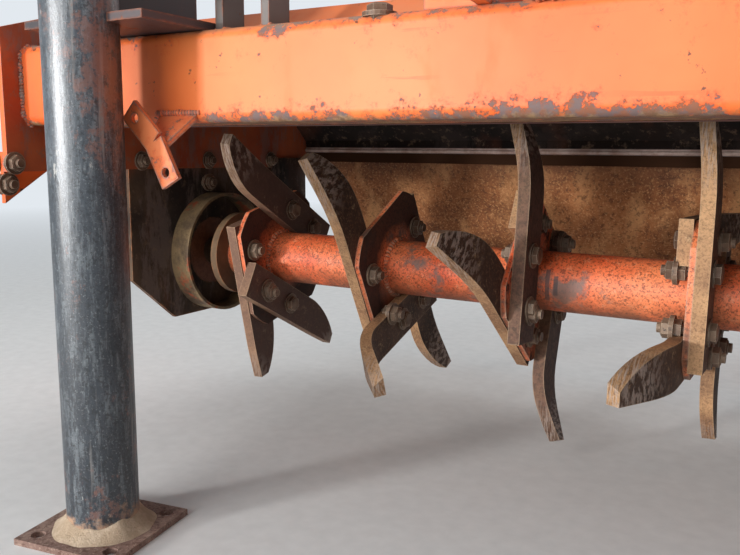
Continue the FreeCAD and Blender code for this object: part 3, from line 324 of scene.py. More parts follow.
def grow(name, tree, seeds, body, **wanted):
    """Runs a tree on its seed mesh and keeps the result as one plain mesh that rides on a body."""
    piece = bpy.data.objects.new(name, seeds)
    scene.collection.objects.link(piece)
    modifier = piece.modifiers.new("growth", "NODES")
    modifier.node_group = tree
    for item in tree.interface.items_tree:
        if item.in_out == "INPUT" and item.name in wanted:
            modifier[item.identifier] = wanted[item.name]
    grown = bpy.data.meshes.new_from_object(piece.evaluated_get(bpy.context.evaluated_depsgraph_get()))
    piece.modifiers.remove(modifier)
    piece.data = grown
    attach(piece, body)
    return piece


bead = new_tree("weld bead", {"Radius": 0.004, "Ripple": 0.004})
line = bead["Geometry"].node("GeometryNodeMeshToCurve", {}, {"Mesh": bead["Geometry"]})
line = line.node("GeometryNodeResampleCurve", {"mode": "LENGTH"}, {"Curve": line, "Length": bead["Ripple"]})
along = line.node("GeometryNodeInputTangent", {}, {})
turned = line.node("FunctionNodeAlignRotationToVector", {"axis": "Z"}, {"Vector": along})
uneven = line.node("FunctionNodeRandomValue", {"data_type": "FLOAT"}, {2: 0.78, 3: 1.2, "Seed": 4}, 1)
ripple = line.node("GeometryNodeMeshIcoSphere", {}, {"Radius": bead["Radius"], "Subdivisions": 2})
ripple = line.node("GeometryNodeTransform", {}, {"Geometry": ripple, "Scale": (1, 1, 0.7)})
ripple = line.node("GeometryNodeSetShadeSmooth", {}, {"Geometry": ripple})
beads = line.node("GeometryNodeInstanceOnPoints", {}, {"Points": line, "Instance": ripple, "Rotation": turned,
                                                       "Scale": uneven})
bead_tree = close_tree(beads, bead)


def weld(name, body, finish, radius, runs):
    """Beads along straight or curved runs, each a list of points."""
    points = []
    edges = []
    for run in runs:
        edges += [(len(points) + step, len(points) + step + 1) for step in range(len(run) - 1)]
        points += run
    seeds = bpy.data.meshes.new(name)
    seeds.from_pydata(points, edges, [])
    piece = grow(name, bead_tree, seeds, body, Radius=radius, Ripple=radius * RIPPLE_STEP, Finish=finish)


clip_low, clip_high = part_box("beam_clip")
hanger_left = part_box("hanger_bracket")[0][0]
beam_front = beam_low[1]
beam_back = beam_high[1]
beam_under = beam_low[2]
beam_top = beam_high[2]
on_top = beam_top + PROUD
frame_runs = [[(hanger_left + across, beam_front, beam_under + ROLLED_CORNER) for across in HANGER_WELD]]
for x in (clip_low[0], clip_low[0] + CLIP_BAR, clip_high[0] - CLIP_BAR, clip_high[0]):
    frame_runs.append([(x, clip_low[1] + CLIP_SHORT, on_top), (x, clip_high[1] - CLIP_SHORT, on_top)])
for side in (-1, 1):
    x = side * (beam_high[0] - PROUD)
    frame_runs.append([(x, beam_front + ROLLED_CORNER, beam_under),
                       (x, beam_front, beam_under + ROLLED_CORNER),
                       (x, beam_front, beam_top - ROLLED_CORNER),
                       (x, beam_front + ROLLED_CORNER, beam_top),
                       (x, beam_back - ROLLED_CORNER, beam_top)])
    for foot in LINK_PLATE_FACES:
        frame_runs.append([(side * foot, beam_front + LINK_PLATE_SHORT, on_top),
                           (side * foot, beam_back - LINK_PLATE_SHORT, on_top)])
    frame_runs.append([(side * foot, beam_front, beam_top) for foot in MAST_FOOT])
weld("frame_welds", "frame", hanger_paint, FRAME_BEAD, frame_runs)

# End plates below the beam, ring guards and hood: sheet steel that works in the soil. What paint is
# left inside is stained nearly black by oily earth, and inside the hood also painted near black as
# shade, with brown rust through it and dry soil on top.
SOIL = colour("302723")
SOIL_DRY = colour("7a6350")
# How far in from the plate's face the painted pale band at a ring's open end is full, and where it fades out.
RING_LIT_BAND = (0.054, 0.047)
plate_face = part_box("upper_end_plates")[1][0]


def soiled(place, wet=SOIL, dry=colour("63503f"), rusty=0.7, grey=0.55):
    """Steel with wet and dry soil baked on, rust streaks and grey scuffs."""
    patches = place.noise(4.5, 7, 0.6)
    flecks = place.noise(60, 6, 0.7)
    streaks = place.noise(7, 6, 0.6, (1, 1, 0.25))
    scuffs = place.noise(13, 9, 0.75, (1, 1, 0.35)).between(0.51, 0.58)
    skin = place.mix(patches.between(0.42, 0.62), wet, dry)
    skin = place.mix(streaks.between(0.56, 0.7) * rusty, skin, RUST)
    skin = place.mix(scuffs * grey, skin, colour("77665f"))
    skin = place.mix(flecks.between(0.56, 0.66) * 0.5, skin, SOIL_DRY)
    skin = place.mix(worn_edge(place, 0.005) * flecks.between(0.4, 0.6), skin, RUST_PALE)
    return {"Base Color": skin, "Roughness": 0.7 + flecks * 0.2, "Specular IOR Level": 0.25,
            "Normal": raised(place, 0.5, 0.002, flecks + patches * 2)}


def hood_skin(place):
    """Orange outside, and inside soil-stained and painted near black as shade, told apart by which way the
    sheet faces.
    """
    outside = upward(place, 0.05, 0.15)
    # Painted shade: the inside's near black colours stand for the hood's shadow as well as soil.
    inside = soiled(place, colour("1b1513"), colour("2c211c"), 0.4, 0.08)
    outer = painted(ORANGE, ORANGE_FADED, PRIMER)(place)
    return {"Base Color": place.mix(outside, inside["Base Color"], outer["Base Color"]),
            "Roughness": 0.85 - outside * 0.4, "Specular IOR Level": 0.25, "Normal": outer["Normal"]}


def ring_skin(place):
    """Ochre and tan soil baked on red paint, with the band at its open end painted pale tan as sunlight."""
    patches = place.noise(24, 7, 0.7)
    flecks = place.noise(110, 6, 0.8)
    skin = place.mix(patches.between(0.40, 0.56), colour("5c4a38"), colour("8d7553"))
    skin = place.mix(place.noise(17, 6, 0.7).between(0.54, 0.60) * 0.8, skin, colour("b2502f"))
    skin = place.mix(flecks.between(0.55, 0.68) * 0.6, skin, colour("3a2a20"))
    across = axis_of(place, 0)
    # Painted light: the band next to the ring's open end is pale tan where the low sun falls on it.
    rim = (across * across).between((plate_face - RING_LIT_BAND[0]) ** 2, (plate_face - RING_LIT_BAND[1]) ** 2)
    skin = place.mix((1 - rim) * 0.7, skin, colour("c2a478"))
    return {"Base Color": skin, "Roughness": 0.75, "Normal": raised(place, 0.5, 0.0015, flecks + patches)}


def plate_skin(place):
    """Upper end plates: orange outside, and inside a dark red primer under soil, made darker still as painted
    shade.
    """
    across = axis_of(place.node("NewGeometry", {}, {}, "Normal"), 0)
    inner = (axis_of(place, 0) * across * -1).between(0.5, 0.6)
    outer = painted(ORANGE, ORANGE_FADED, PRIMER)(place)
    # Painted shade: the inner faces get a darker red than the orange outer faces, for the shade inside the
    # plates.
    inside = soiled(place, colour("9a3f20"), colour("b85a30"), 0.4)
    return {"Base Color": place.mix(inner, outer["Base Color"], inside["Base Color"]),
            "Roughness": 0.45 + inner * 0.3, "Normal": outer["Normal"]}


dress(finish_of("end plate paint", plate_skin), "upper_end_plates")
soil_stained = finish_of("soil stained steel", soiled)
dress(soil_stained, "lower_end_plates")
dress(finish_of("baked soil and painted light", ring_skin), "ring_guards")
dress(finish_of("hood paint", hood_skin), "hood")


def lip_skin(place):
    """Reddish primer under rust and soil."""
    return soiled(place, colour("6d4c48"), colour("8d6864"), 0.2)


dress(finish_of("lip rust", lip_skin), "hood_front_lip")

# Bolts: hexagon heads on round washers, and nuts with a bolt end through them. Zinc turned brown.
# They hold the end plates together at their corners, and one stands on the beam.
SIXTH_TURN = 1.04


def copies_on(given, shape, angle):
    """Copies of a shape on the seed points, upright on the way each point faces and turned by an angle."""
    points = given["Geometry"]
    facing = points.node("GeometryNodeInputNamedAttribute", {"data_type": "FLOAT_VECTOR"}, {"Name": "facing"})
    tilt = points.node("FunctionNodeAlignRotationToVector", {"axis": "Z"}, {"Vector": facing})
    turned = points.node("FunctionNodeAxisAngleToRotation", {}, {"Axis": (0, 0, 1), "Angle": angle})
    stood = points.node("FunctionNodeRotateRotation", {"rotation_space": "LOCAL"},
                        {"Rotation": tilt, "Rotate By": turned})
    copies = points.node("GeometryNodeInstanceOnPoints", {},
                         {"Points": points, "Instance": shape, "Rotation": stood})
    return close_tree(copies, given)


def seeds_at(name, seats):
    """Loose points for copies to stand on. A seat is a place on the surface and the way it faces."""
    seeds = bpy.data.meshes.new(name)
    seeds.from_pydata([place for place, way in seats], [], [])
    facing = seeds.attributes.new("facing", "FLOAT_VECTOR", "POINT")
    for index, (place, way) in enumerate(seats):
        facing.data[index].vector = way
    return seeds


bolt = new_tree("bolt", {"Head": 0.012, "Tall": 0.009, "Stud": 0})
seat = bolt["Geometry"]
washer = seat.node("GeometryNodeMeshCylinder", {},
                   {"Vertices": 20, "Radius": bolt["Head"] * 1.35, "Depth": bolt["Tall"] * 0.5})
head = seat.node("GeometryNodeMeshCylinder", {},
                 {"Vertices": 6, "Radius": bolt["Head"], "Depth": bolt["Tall"] * 2})
crown = seat.node("GeometryNodeMeshCone", {},
                  {"Vertices": 18, "Radius Top": bolt["Head"] * 0.7, "Radius Bottom": bolt["Head"] * 0.9,
                   "Depth": bolt["Tall"] * 0.16})
crown_up = seat.node("CombineXYZ", {}, {2: bolt["Tall"]})
crown = seat.node("GeometryNodeTransform", {}, {"Geometry": crown, "Translation": crown_up})
stud = seat.node("GeometryNodeMeshCylinder", {},
                 {"Vertices": 14, "Radius": bolt["Head"] * 0.52, "Depth": (bolt["Tall"] + bolt["Stud"]) * 2})
fastener = seat.node("GeometryNodeJoinGeometry", {}, {})
for piece in (washer, head, crown, stud):
    seat.tree.links.new(piece.socket, fastener.socket.node.inputs[0])
any_turn = seat.node("FunctionNodeRandomValue", {"data_type": "FLOAT"}, {2: 0.0, 3: SIXTH_TURN, "Seed": 9}, 1)
bolt_tree = copies_on(bolt, fastener, any_turn)


def brown_zinc(place):
    """Zinc turned brown, with dark specks and pale corners."""
    speckle = place.noise(120, 6, 0.75)
    skin = place.mix(place.noise(25, 4).between(0.4, 0.62), colour("5f4636"), colour("8a735f"))
    skin = place.mix(speckle.between(0.56, 0.66), skin, colour("35261e"))
    skin = place.mix(worn_edge(place, 0.0015), skin, colour("b3a38f"))
    return {"Base Color": skin, "Roughness": 0.6, "Metallic": speckle.between(0.6, 0.4) * 0.35,
            "Normal": raised(place, 0.4, 0.0006, speckle)}


bolt_steel = finish_of("brown zinc", brown_zinc)


def fasten(name, body, seats, head_size, tall, stud_out=0.0):
    """Bolts or nuts on their seats, all of one size."""
    seeds = seeds_at(name, seats)
    piece = grow(name, bolt_tree, seeds, body, Head=head_size, Tall=tall, Stud=stud_out, Finish=bolt_steel)


# The upper plates and what is bolted outside them: three faces, counted from the machine's middle.
UPPER_INSIDE = 1.105
UPPER_OUTSIDE = 1.115
LOWER_OUTSIDE = 1.123
PLATE_BOLT = 0.012
BEAM_BOLT = (-0.526, -0.589)
# Each bolt's place along and up the plate, and the face that its nut is on.
PLATE_BOLTS = (
    (-0.383, 0.464, UPPER_INSIDE), (-0.218, 0.464, UPPER_INSIDE), (-0.030, 0.464, UPPER_INSIDE),
    (-0.218, 0.423, UPPER_INSIDE), (-0.623, 0.462, UPPER_INSIDE), (-0.628, 0.432, UPPER_OUTSIDE),
    (-0.540, 0.462, UPPER_INSIDE))
heads = []
nuts = []
for side in (-1, 1):
    for y, z, nut_face in PLATE_BOLTS:
        nuts.append(((side * nut_face, y, z), (-side, 0, 0)))
        heads.append(((side * LOWER_OUTSIDE, y, z), (side, 0, 0)))
fasten("end_plate_nuts", "frame", nuts, PLATE_BOLT, tall=0.009, stud_out=0.006)
fasten("end_plate_bolts", "frame", heads, PLATE_BOLT, tall=0.008)
fasten("beam_top_bolt", "frame", [((*BEAM_BOLT, beam_top), (0, 0, 1))], head_size=0.014, tall=0.010)

# Trailing board: bare plate, rusted ochre and brown in mottled patches, with painted shade darkest
# along its top under the strip, and its knuckles the same.
SHADE_BAND = 0.07


def mottled(dark, middle, light, shade_top=None):
    """Bare plate with rust in three shades, and painted shade along the top when a top height is given."""

    def make(place):
        patches = place.noise(7, 8, 0.62)
        speckle = place.noise(110, 7, 0.8)
        runs = place.noise(22, 5, 0.5, (1, 1, 0.15))
        skin = place.mix(patches.between(0.36, 0.6) * 0.8, dark, middle)
        skin = place.mix((patches * 0.5 + runs * 0.5).between(0.5, 0.62) * 0.6, skin, light)
        skin = place.mix(speckle.between(0.52, 0.58) * 0.62, skin, colour("4a2718"))
        skin = place.mix(place.noise(230, 4, 0.75).between(0.53, 0.62) * 0.55, skin, light)
        if shade_top:
            # Painted shade: a near black band below the board's top, where the strip and hood shade it.
            above = axis_of(place, 2).between(shade_top - SHADE_BAND, shade_top)
            skin = place.mix(above * 0.7, skin, colour("2c1b13"))
        return {"Base Color": skin, "Roughness": 0.75 + speckle * 0.15,
                "Normal": raised(place, 0.55, 0.0015, speckle + patches)}

    return make


board_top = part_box("trailing_board")[1][2]
board_rust_and_shade = finish_of("ochre rust and painted shade", mottled(colour("75421f"), colour("bd7846"), colour("e0a66e"), board_top))
dress(board_rust_and_shade, "trailing_board", "board_knuckles")

# Dust strip and side flaps: a dark steel strip with a rolled bead, near black partly as painted shade
# under the hood, closes the gap over the board, and a worn rubber flap hangs inside each end plate,
# ahead of the board's end.
STRIP_THICK = 0.003
STRIP_AHEAD = 0.0055
STRIP_SHORT = 0.002
STRIP_UP = 0.060
STRIP_DOWN = 0.022
STRIP_BUCKLE = 0.0015
STRIP_SPANS = 60
ROLL_TOP = 0.006
ROLL_TALL = 0.007
ROLL_OUT = 0.0035
ROLL_STEPS = 8
FLAP_FRONT = -0.030
FLAP_LONG = 0.118
FLAP_TOP = 0.468
FLAP_HANG = 0.150
FLAP_RAGGED = 0.014
FLAP_WAVE = 0.004
FLAP_THICK = 0.004
FLAP_OUTSIDE = 1.1045
FLAP_COLUMNS = 16
FLAP_ROWS = 12


def swept(around, rows, closed):
    """Faces over rows of points that each go round an outline. Open rows get a face at both ends."""
    faces = []
    for row in range(rows if closed else rows - 1):
        here = row * around
        there = (row + 1) % rows * around
        for index in range(around):
            beyond = (index + 1) % around
            faces.append((here + index, here + beyond, there + beyond, there + index))
    if not closed:
        last = (rows - 1) * around
        faces += [tuple(range(around - 1, -1, -1)), tuple(range(last, last + around))]
    return faces


def add_piece(name, points, faces, finish, smooth=False):
    """A piece of the scene's own, from its points and faces."""
    mesh = bpy.data.meshes.new(name)
    mesh.from_pydata(points, [], faces)
    mesh.polygons.foreach_set("use_smooth", [smooth] * len(faces))
    mesh.materials.append(finish)
    piece = bpy.data.objects.new(name, mesh)
    scene.collection.objects.link(piece)
    return piece


rail_low, rail_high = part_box("hinge_rail")
rail_under = rail_low[2]
strip_front = rail_low[1] - STRIP_AHEAD
strip_back = strip_front + STRIP_THICK
strip_half = rail_high[0] - STRIP_SHORT
outline = [(strip_back, rail_under + STRIP_UP), (strip_front, rail_under + STRIP_UP)]
outline += [(strip_front - ROLL_OUT * math.sin(math.pi * step / ROLL_STEPS),
             rail_under + ROLL_TOP - ROLL_TALL * step / ROLL_STEPS) for step in range(ROLL_STEPS + 1)]
outline += [(strip_front, rail_under - STRIP_DOWN), (strip_back, rail_under - STRIP_DOWN)]
points = []
for step in range(STRIP_SPANS + 1):
    x = -strip_half + 2 * strip_half * step / STRIP_SPANS
    for index, (y, z) in enumerate(outline):
        inner = 1 < index < len(outline) - 1
        bent = STRIP_BUCKLE * noise.noise(Vector((x * 4, 0, 3))) if inner else 0
        points.append((x, y, z + bent))


def beaded(place):
    """Dark strip, soil-stained and painted near black as shade under the hood, with its bead a pale pinkish
    grey.
    """
    # Painted shade: the strip's near black colours stand for the shadow under the hood as well as soil.
    dark = soiled(place, colour("1b1513"), colour("2c211c"), 0.3, 0.08)
    rise = axis_of(place, 2)
    bead_line = (rise - rail_under + 0.003).between(0, 0.002) * (rail_under + 0.009 - rise).between(0, 0.002)
    pale_bead = place.mix(place.noise(30, 6, 0.7).between(0.4, 0.6), colour("c9b2a8"), colour("a5887c"))
    stained = place.mix((rail_under - 0.003 - rise).between(0, 0.001), dark["Base Color"], colour("3b2416"))
    return {"Base Color": place.mix(bead_line, stained, pale_bead), "Roughness": 0.85,
            "Specular IOR Level": 0.1, "Normal": dark["Normal"]}


strip_faces = swept(len(outline), STRIP_SPANS + 1, closed=False)
strip_piece = add_piece("dust_strip", points, strip_faces, finish_of("beaded strip", beaded))
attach(strip_piece, "frame")


def soiled_rubber(place):
    """Worn rubber under a film of soil."""
    return soiled(place, colour("1b1817"), colour("2f2722"), 0.25)


flap_rubber = finish_of("worn flap rubber", soiled_rubber)
for side, name in ((-1, "left"), (1, "right")):
    points = []
    for skin_side in (0, 1):
        for row in range(FLAP_ROWS + 1):
            for column in range(FLAP_COLUMNS + 1):
                y = FLAP_FRONT + FLAP_LONG * column / FLAP_COLUMNS
                hang = FLAP_HANG + FLAP_RAGGED * noise.noise(Vector((column * 0.35, side * 5, 1)))
                z = FLAP_TOP - hang * row / FLAP_ROWS
                wave = FLAP_WAVE * (row / FLAP_ROWS) * (1 + math.sin(column * 0.7 + side))
                points.append((side * (FLAP_OUTSIDE - wave - skin_side * FLAP_THICK), y, z))
    stride = FLAP_COLUMNS + 1
    sheet = (FLAP_ROWS + 1) * stride
    faces = []
    for row in range(FLAP_ROWS):
        for column in range(FLAP_COLUMNS):
            corner = row * stride + column
            back = sheet + corner
            faces.append((corner, corner + 1, corner + stride + 1, corner + stride))
            faces.append((back, back + stride, back + stride + 1, back + 1))
    rim = list(range(stride)) + [row * stride + FLAP_COLUMNS for row in range(1, FLAP_ROWS + 1)]
    rim += [FLAP_ROWS * stride + column for column in range(FLAP_COLUMNS - 1, -1, -1)]
    rim += [row * stride for row in range(FLAP_ROWS - 1, 0, -1)]
    for index, corner in enumerate(rim):
        after = rim[(index + 1) % len(rim)]
        faces.append((corner, sheet + corner, sheet + after, after))
    if side > 0:
        faces = [tuple(reversed(face)) for face in faces]
    flap_piece = add_piece(name + "_side_flap", points, faces, flap_rubber)
    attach(flap_piece, "frame")

# Rotor: tube, end shafts and blade flanges in red paint, scoured and speckled by soil and stones.
# The tube is brown underneath, where wet soil stays, and bare in patches.
FLANGES = 9
FLANGE_THICK = 0.008
FLANGE_HALF = FLANGE_THICK / 2
TUBE_BEAD = 0.0058
RING_STEPS = 40
axle_low, axle_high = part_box("rotor_tube")
AXLE = ((axle_low[1] + axle_high[1]) / 2, (axle_low[2] + axle_high[2]) / 2)
TUBE_RADIUS = (axle_high[2] - axle_low[2]) / 2
# Two rub marks round the tube, each its place across and half its length.
RUB_MARKS = ((-0.4400, 0.024), (-0.4275, 0.015))
RUB_HALF = 0.0036
RUB_CORE = 0.0028


def from_axle(place):
    """How far a place on the rotor is from its axis."""
    ahead = axis_of(place, 1) - AXLE[0]
    up = axis_of(place, 2) - AXLE[1]
    return place.node("Math", {"operation": "SQRT"}, {0: ahead * ahead + up * up})


def scoured(place):
    """Red paint rubbed thin by soil, with bare steel in patches and mud along the underside."""
    patches = place.noise(6, 7, 0.6)
    speckle = place.noise(150, 7, 0.85)
    skin = place.mix(patches.between(0.35, 0.6), colour("ea6032"), colour("f98c58"))
    skin = place.mix(speckle.between(0.50, 0.60) * 0.5, skin, colour("6b2716"))
    skin = place.mix(place.noise(95, 6, 0.8).between(0.56, 0.64) * 0.6, skin, colour("f3a57c"))
    skin = place.mix(place.noise(270, 3, 0.7).between(0.54, 0.60) * 0.7, skin, colour("5a2012"))
    bare = (place.noise(4, 4) * 0.6 + place.noise(25, 7, 0.7) * 0.4).between(0.53, 0.57)
    skin = place.mix(bare * 0.85, skin, colour("75655c"))
    along = axis_of(place, 0)
    above = axis_of(place, 2) - AXLE[1]
    for mark, reach in RUB_MARKS:
        off = along - mark
        across_it = (off * off).between(RUB_HALF ** 2, RUB_CORE ** 2)
        band = across_it * (above * above).between(reach ** 2, (reach * 0.9) ** 2)
        skin = place.mix(band * 0.8, skin, colour("4c4140"))
    under = (AXLE[1] - axis_of(place, 2)).between(0.004, 0.036) * place.noise(18, 6, 0.7).between(0.30, 0.52)
    skin = place.mix(under * 0.8, skin, colour("6e4a35"))
    skin = place.mix(worn_edge(place, 0.005) * speckle.between(0.35, 0.5), skin, colour("b5957c"))
    return {"Base Color": skin, "Roughness": 0.38 + speckle * 0.3,
            "Normal": raised(place, 0.45, 0.0009, speckle - bare)}


red_paint = finish_of("scoured red paint", scoured)
dress(red_paint, "rotor_tube")


def packed(place):
    """Soil that has packed round the shafts."""
    return soiled(place, colour("5a4636"), colour("8a6f52"), 0.3)


dress(finish_of("soil packed shaft", packed), "rotor_end_shafts")
flange_low, flange_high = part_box("blade_flanges")
first = flange_low[0] + FLANGE_HALF
last = flange_high[0] - FLANGE_HALF
flange_at = [first + (last - first) * step / (FLANGES - 1) for step in range(FLANGES)]


def flange_skin(place):
    """Blade flanges: red along their edges and near the tube, and dark with baked soil between."""
    red = scoured(place)
    patches = place.noise(12, 6, 0.65)
    flat = axis_of(place.node("NewGeometry", {}, {}, "Normal"), 0)
    face = (flat * flat).between(0.5, 0.8)
    first_two = (flange_at[1] + 0.05 - axis_of(place, 0)).between(0, 0.01)
    clumps = place.noise(30, 6, 0.75).between(0.47, 0.55)
    clumpy = first_two + (1 - first_two) * clumps
    crusted = (from_axle(place) + patches * 0.07).between(0.088, 0.112) * face * clumpy
    soil = place.mix(patches.between(0.4, 0.6), colour("1d1412"), colour("33231c"))
    return {"Base Color": place.mix(crusted * 0.93, red["Base Color"], soil),
            "Roughness": 0.5 + crusted * 0.3, "Normal": red["Normal"]}


dress(finish_of("crusted flange paint", flange_skin), "blade_flanges")


def on_circle(x, centre, radius, turn):
    """A point round an axis that runs across the machine."""
    return x, centre[0] + radius * math.cos(turn), centre[1] + radius * math.sin(turn)


rings = []
for x in flange_at:
    for side in (-1, 1):
        beside = x + side * (FLANGE_HALF + PROUD)
        rings.append([on_circle(beside, AXLE, TUBE_RADIUS + PROUD, math.tau * step / RING_STEPS)
                      for step in range(RING_STEPS + 1)])
weld("rotor_welds", "rotor", red_paint, TUBE_BEAD, rings)

# Blades: bars of spring steel, bent sideways, with dark brown painted shade on their wide faces, tan
# along their edges, and rubbed pale and ridged at the tips. Each is held by two bolts through its flange.
BLADE_THICK = 0.018
BLADE_OFFSET = 0.076
BLADE_BOLT = 0.0135
BOLT_HALF = 0.038
SHANK_BACK = -0.1
SHANK_FRONT = 0.13
SHANK_HALF = 0.043
TIP_LINE_SCALE = 1.5
# How far across from a flange its blades reach, and where the right ones of the third flange lie.
FIRST_REACH = 0.11
THIRD_MIDDLE = 0.053
THIRD_HALF = 0.051
THIRD_CORE = 0.048


def rubbed_and_shaded(place):
    """Spring steel: wide faces, edges and tips told apart by how they face and how far out they are. The
    wide faces are painted dark brown as shade.
    """
    patches = place.noise(11, 7, 0.6)
    speckle = place.noise(140, 6, 0.75)
    out = from_axle(place)
    across = axis_of(place.node("NewGeometry", {}, {}, "Normal"), 0)
    wide = (across * across).between(0.35, 0.7)
    skin = place.mix(patches.between(0.38, 0.62), colour("8f684a"), colour("c79a6d"))
    # Painted shade: the wide faces, in shadow beside the sunlit edges, get dark brown and fewer pale specks.
    painted_shade_brown = place.mix(patches.between(0.42, 0.62), colour("261b17"), colour("4a352c"))
    skin = place.mix(wide * 0.94, skin, painted_shade_brown)
    skin = place.mix(speckle.between(0.50, 0.62) * 0.35, skin, colour("4a3226"))
    skin = place.mix(place.noise(60, 6, 0.8).between(0.58, 0.66) * 0.5, skin, colour("d9b88c"))
    skin = place.mix(place.noise(330, 4, 0.75).between(0.50, 0.60) * 0.45, skin, colour("4a2f20"))
    specks = place.noise(210, 5, 0.8).between(0.52, 0.60)
    skin = place.mix(specks * (0.45 - wide * 0.3), skin, colour("c99a70"))
    off_third = axis_of(place, 0) - flange_at[2] - THIRD_MIDDLE
    third = (off_third * off_third).between(THIRD_HALF ** 2, THIRD_CORE ** 2)
    stained = place.mix(speckle.between(0.4, 0.6), colour("5b3a2e"), colour("33211d"))
    skin = place.mix(third * 0.75, skin, stained)
    on_first = (flange_at[0] + FIRST_REACH - axis_of(place, 0)).between(0, 0.01)
    skin = place.mix(on_first * 0.6, skin, colour("624840"))
    ahead = axis_of(place, 1) - AXLE[0]
    up = axis_of(place, 2) - AXLE[1]
    turn = place.node("Math", {"operation": "ARCTAN2"}, {0: up, 1: ahead})
    streak = place.node("CombineXYZ", {}, {0: axis_of(place, 0) * 360, 1: turn * 11, 2: out * 30})
    ridges = streak.node("TexNoise", {}, {"Vector": streak, "Scale": TIP_LINE_SCALE, "Detail": 4,
                                          "Roughness": 0.65})
    tip = (out + patches * 0.05).between(0.205, 0.250)
    skin = place.mix(tip * ridges.between(0.47, 0.56) * 0.75, skin, colour("b3a195"))
    skin = place.mix(tip * ridges.between(0.46, 0.36) * 0.5, skin, colour("4a362d"))
    skin = place.mix(worn_edge(place, 0.003) * 0.55, skin, colour("c9ab88"))
    return {"Base Color": skin, "Roughness": 0.62 - tip * 0.14 + speckle * 0.2, "Metallic": tip * 0.35,
            "Normal": raised(place, 0.6, 0.0016, speckle * 0.6 + patches * 0.6 + tip * ridges * 4.5)}


blade_steel = finish_of("rubbed blade steel with painted shade", rubbed_and_shaded)
dress(blade_steel, "left_bent_blades", "right_bent_blades")
# The blades of each flange: which face each is on, its direction in degrees and its hand. The four
# flanges nearest the left end have their own, and the others go on by one rule.
rows = [
    ((-1, 283, -1), (1, 150, -1), (1, 332, -1)),
    ((-1, 118, 1), (-1, 290, 1), (1, 198, 1)),
    ((-1, 142, 1), (-1, 332, 1), (1, 84, 1), (1, 252, 1)),
    ((-1, 178, 1), (-1, 358, 1), (1, 88, 1), (1, 262, 1)),
]
LEFT_START = 203
LEFT_STEP = 25
RIGHT_BEHIND = 77
for step in range(FLANGES - len(rows)):
    left = LEFT_START + LEFT_STEP * step
    right_blade = left - RIGHT_BEHIND
    rows.append(((-1, left, 1), (-1, left + 180, 1), (1, right_blade, 1), (1, right_blade + 180, 1)))


def along_blade(direction, hand, far):
    """A point on a blade's middle line, far past its nearest point to the axis."""
    turn = math.radians(direction)
    off = hand * BLADE_OFFSET
    return far * math.cos(turn) - off * math.sin(turn), far * math.sin(turn) + off * math.cos(turn)


def covered(blade, ahead, up):
    """Whether a blade's flat shank lies over a point of its flange."""
    face, direction, hand = blade
    turn = math.radians(direction)
    far = ahead * math.cos(turn) + up * math.sin(turn)
    off = up * math.cos(turn) - ahead * math.sin(turn)
    return SHANK_BACK < far < SHANK_FRONT and abs(off - hand * BLADE_OFFSET) < SHANK_HALF


heads = []
ends = []
for x, blades in zip(flange_at, rows):
    for face, direction, hand in blades:
        for far in (-BOLT_HALF, BOLT_HALF):
            ahead, up = along_blade(direction, hand, far)
            y = AXLE[0] + ahead
            z = AXLE[1] + up
            hidden = any(covered(other, ahead, up) for other in blades if other[0] != face)
            depth = FLANGE_HALF + (BLADE_THICK if hidden else 0)
            heads.append(((x + face * (FLANGE_HALF + BLADE_THICK), y, z), (face, 0, 0)))
            ends.append(((x - face * depth, y, z), (-face, 0, 0)))
fasten("blade_bolts", "rotor", heads, BLADE_BOLT, tall=0.010)
fasten("blade_nuts", "rotor", ends, BLADE_BOLT, tall=0.012, stud_out=0.007)

# Stands: dark pipe, painted blue-black, scratched down its length, on a rusty foot plate with
# sandy soil heaped and dried round its base.
PIPE_RADIUS = 0.04445
HEAP_TALL = 0.020
HEAP_WIDE = 0.024
TALL_VARIES = 0.012
WIDE_VARIES = 0.006
HEAP_ROUGH = 0.0016
INTO_PIPE = 0.002
INTO_FOOT = 0.001
HEAP_AROUND = 64
HEAP_RINGS = 9


def dark_pipe(place):
    """Blue-black paint with fine streaks, long scratches, slashes and scuffs, and rust at its foot."""
    speckle = place.noise(340, 5, 0.8)
    scratches = place.noise(55, 5, 0.6, (1, 1, 0.05))
    slashes = place.noise(30, 6, 0.75, (1.6, 1, 0.5))
    low = axis_of(place, 2)
    rusty = ((0.055 - low) * 7 + place.noise(24, 7, 0.75)).between(0.60, 0.72)
    scuffs = (place.noise(9, 6, 0.7, (1, 1, 0.6)) * 0.6 + place.noise(60, 5, 0.8) * 0.4).between(0.54, 0.58)
    skin = place.mix(place.noise(5, 5).between(0.4, 0.6), colour("252c34"), colour("3b434b"))
    streaks = place.noise(130, 6, 0.7, (1, 1, 0.16))
    skin = place.mix(streaks.between(0.50, 0.62) * 0.45, skin, colour("7d8488"))
    skin = place.mix(speckle.between(0.57, 0.62) * 0.45, skin, colour("9a9fa1"))
    skin = place.mix(place.noise(190, 6, 0.8).between(0.52, 0.57) * 0.8, skin, colour("14181c"))
    skin = place.mix(scratches.between(0.60, 0.66) * 0.55, skin, colour("8d8a86"))
    skin = place.mix(slashes.between(0.64, 0.67) * 0.7, skin, colour("b3b1ab"))
    skin = place.mix(scuffs * 0.6, skin, colour("84594b"))
    skin = place.mix(rusty, skin, colour("a8856a"))
    return {"Base Color": skin, "Roughness": 0.30 + rusty * 0.5 + speckle * 0.12,
            "Specular IOR Level": 0.9,
            "Normal": raised(place, 0.45, 0.0010, streaks + slashes)}


stand_paint = finish_of("dark stand paint", dark_pipe)
dress(stand_paint, "left_stand_pipe", "right_stand_pipe")
foot_rust = finish_of("pink rust", mottled(colour("6c5249"), colour("97796c"), colour("b59c8c")))
dress(foot_rust, "left_stand_foot", "right_stand_foot")
bracket_paint = finish_of("dark bracket paint", painted(colour("2f2b2e"), colour("4a4143"), colour("7b4a35"),
                                                        colour("5a3a33"), 0.67))
dress(bracket_paint, "stand_brackets")


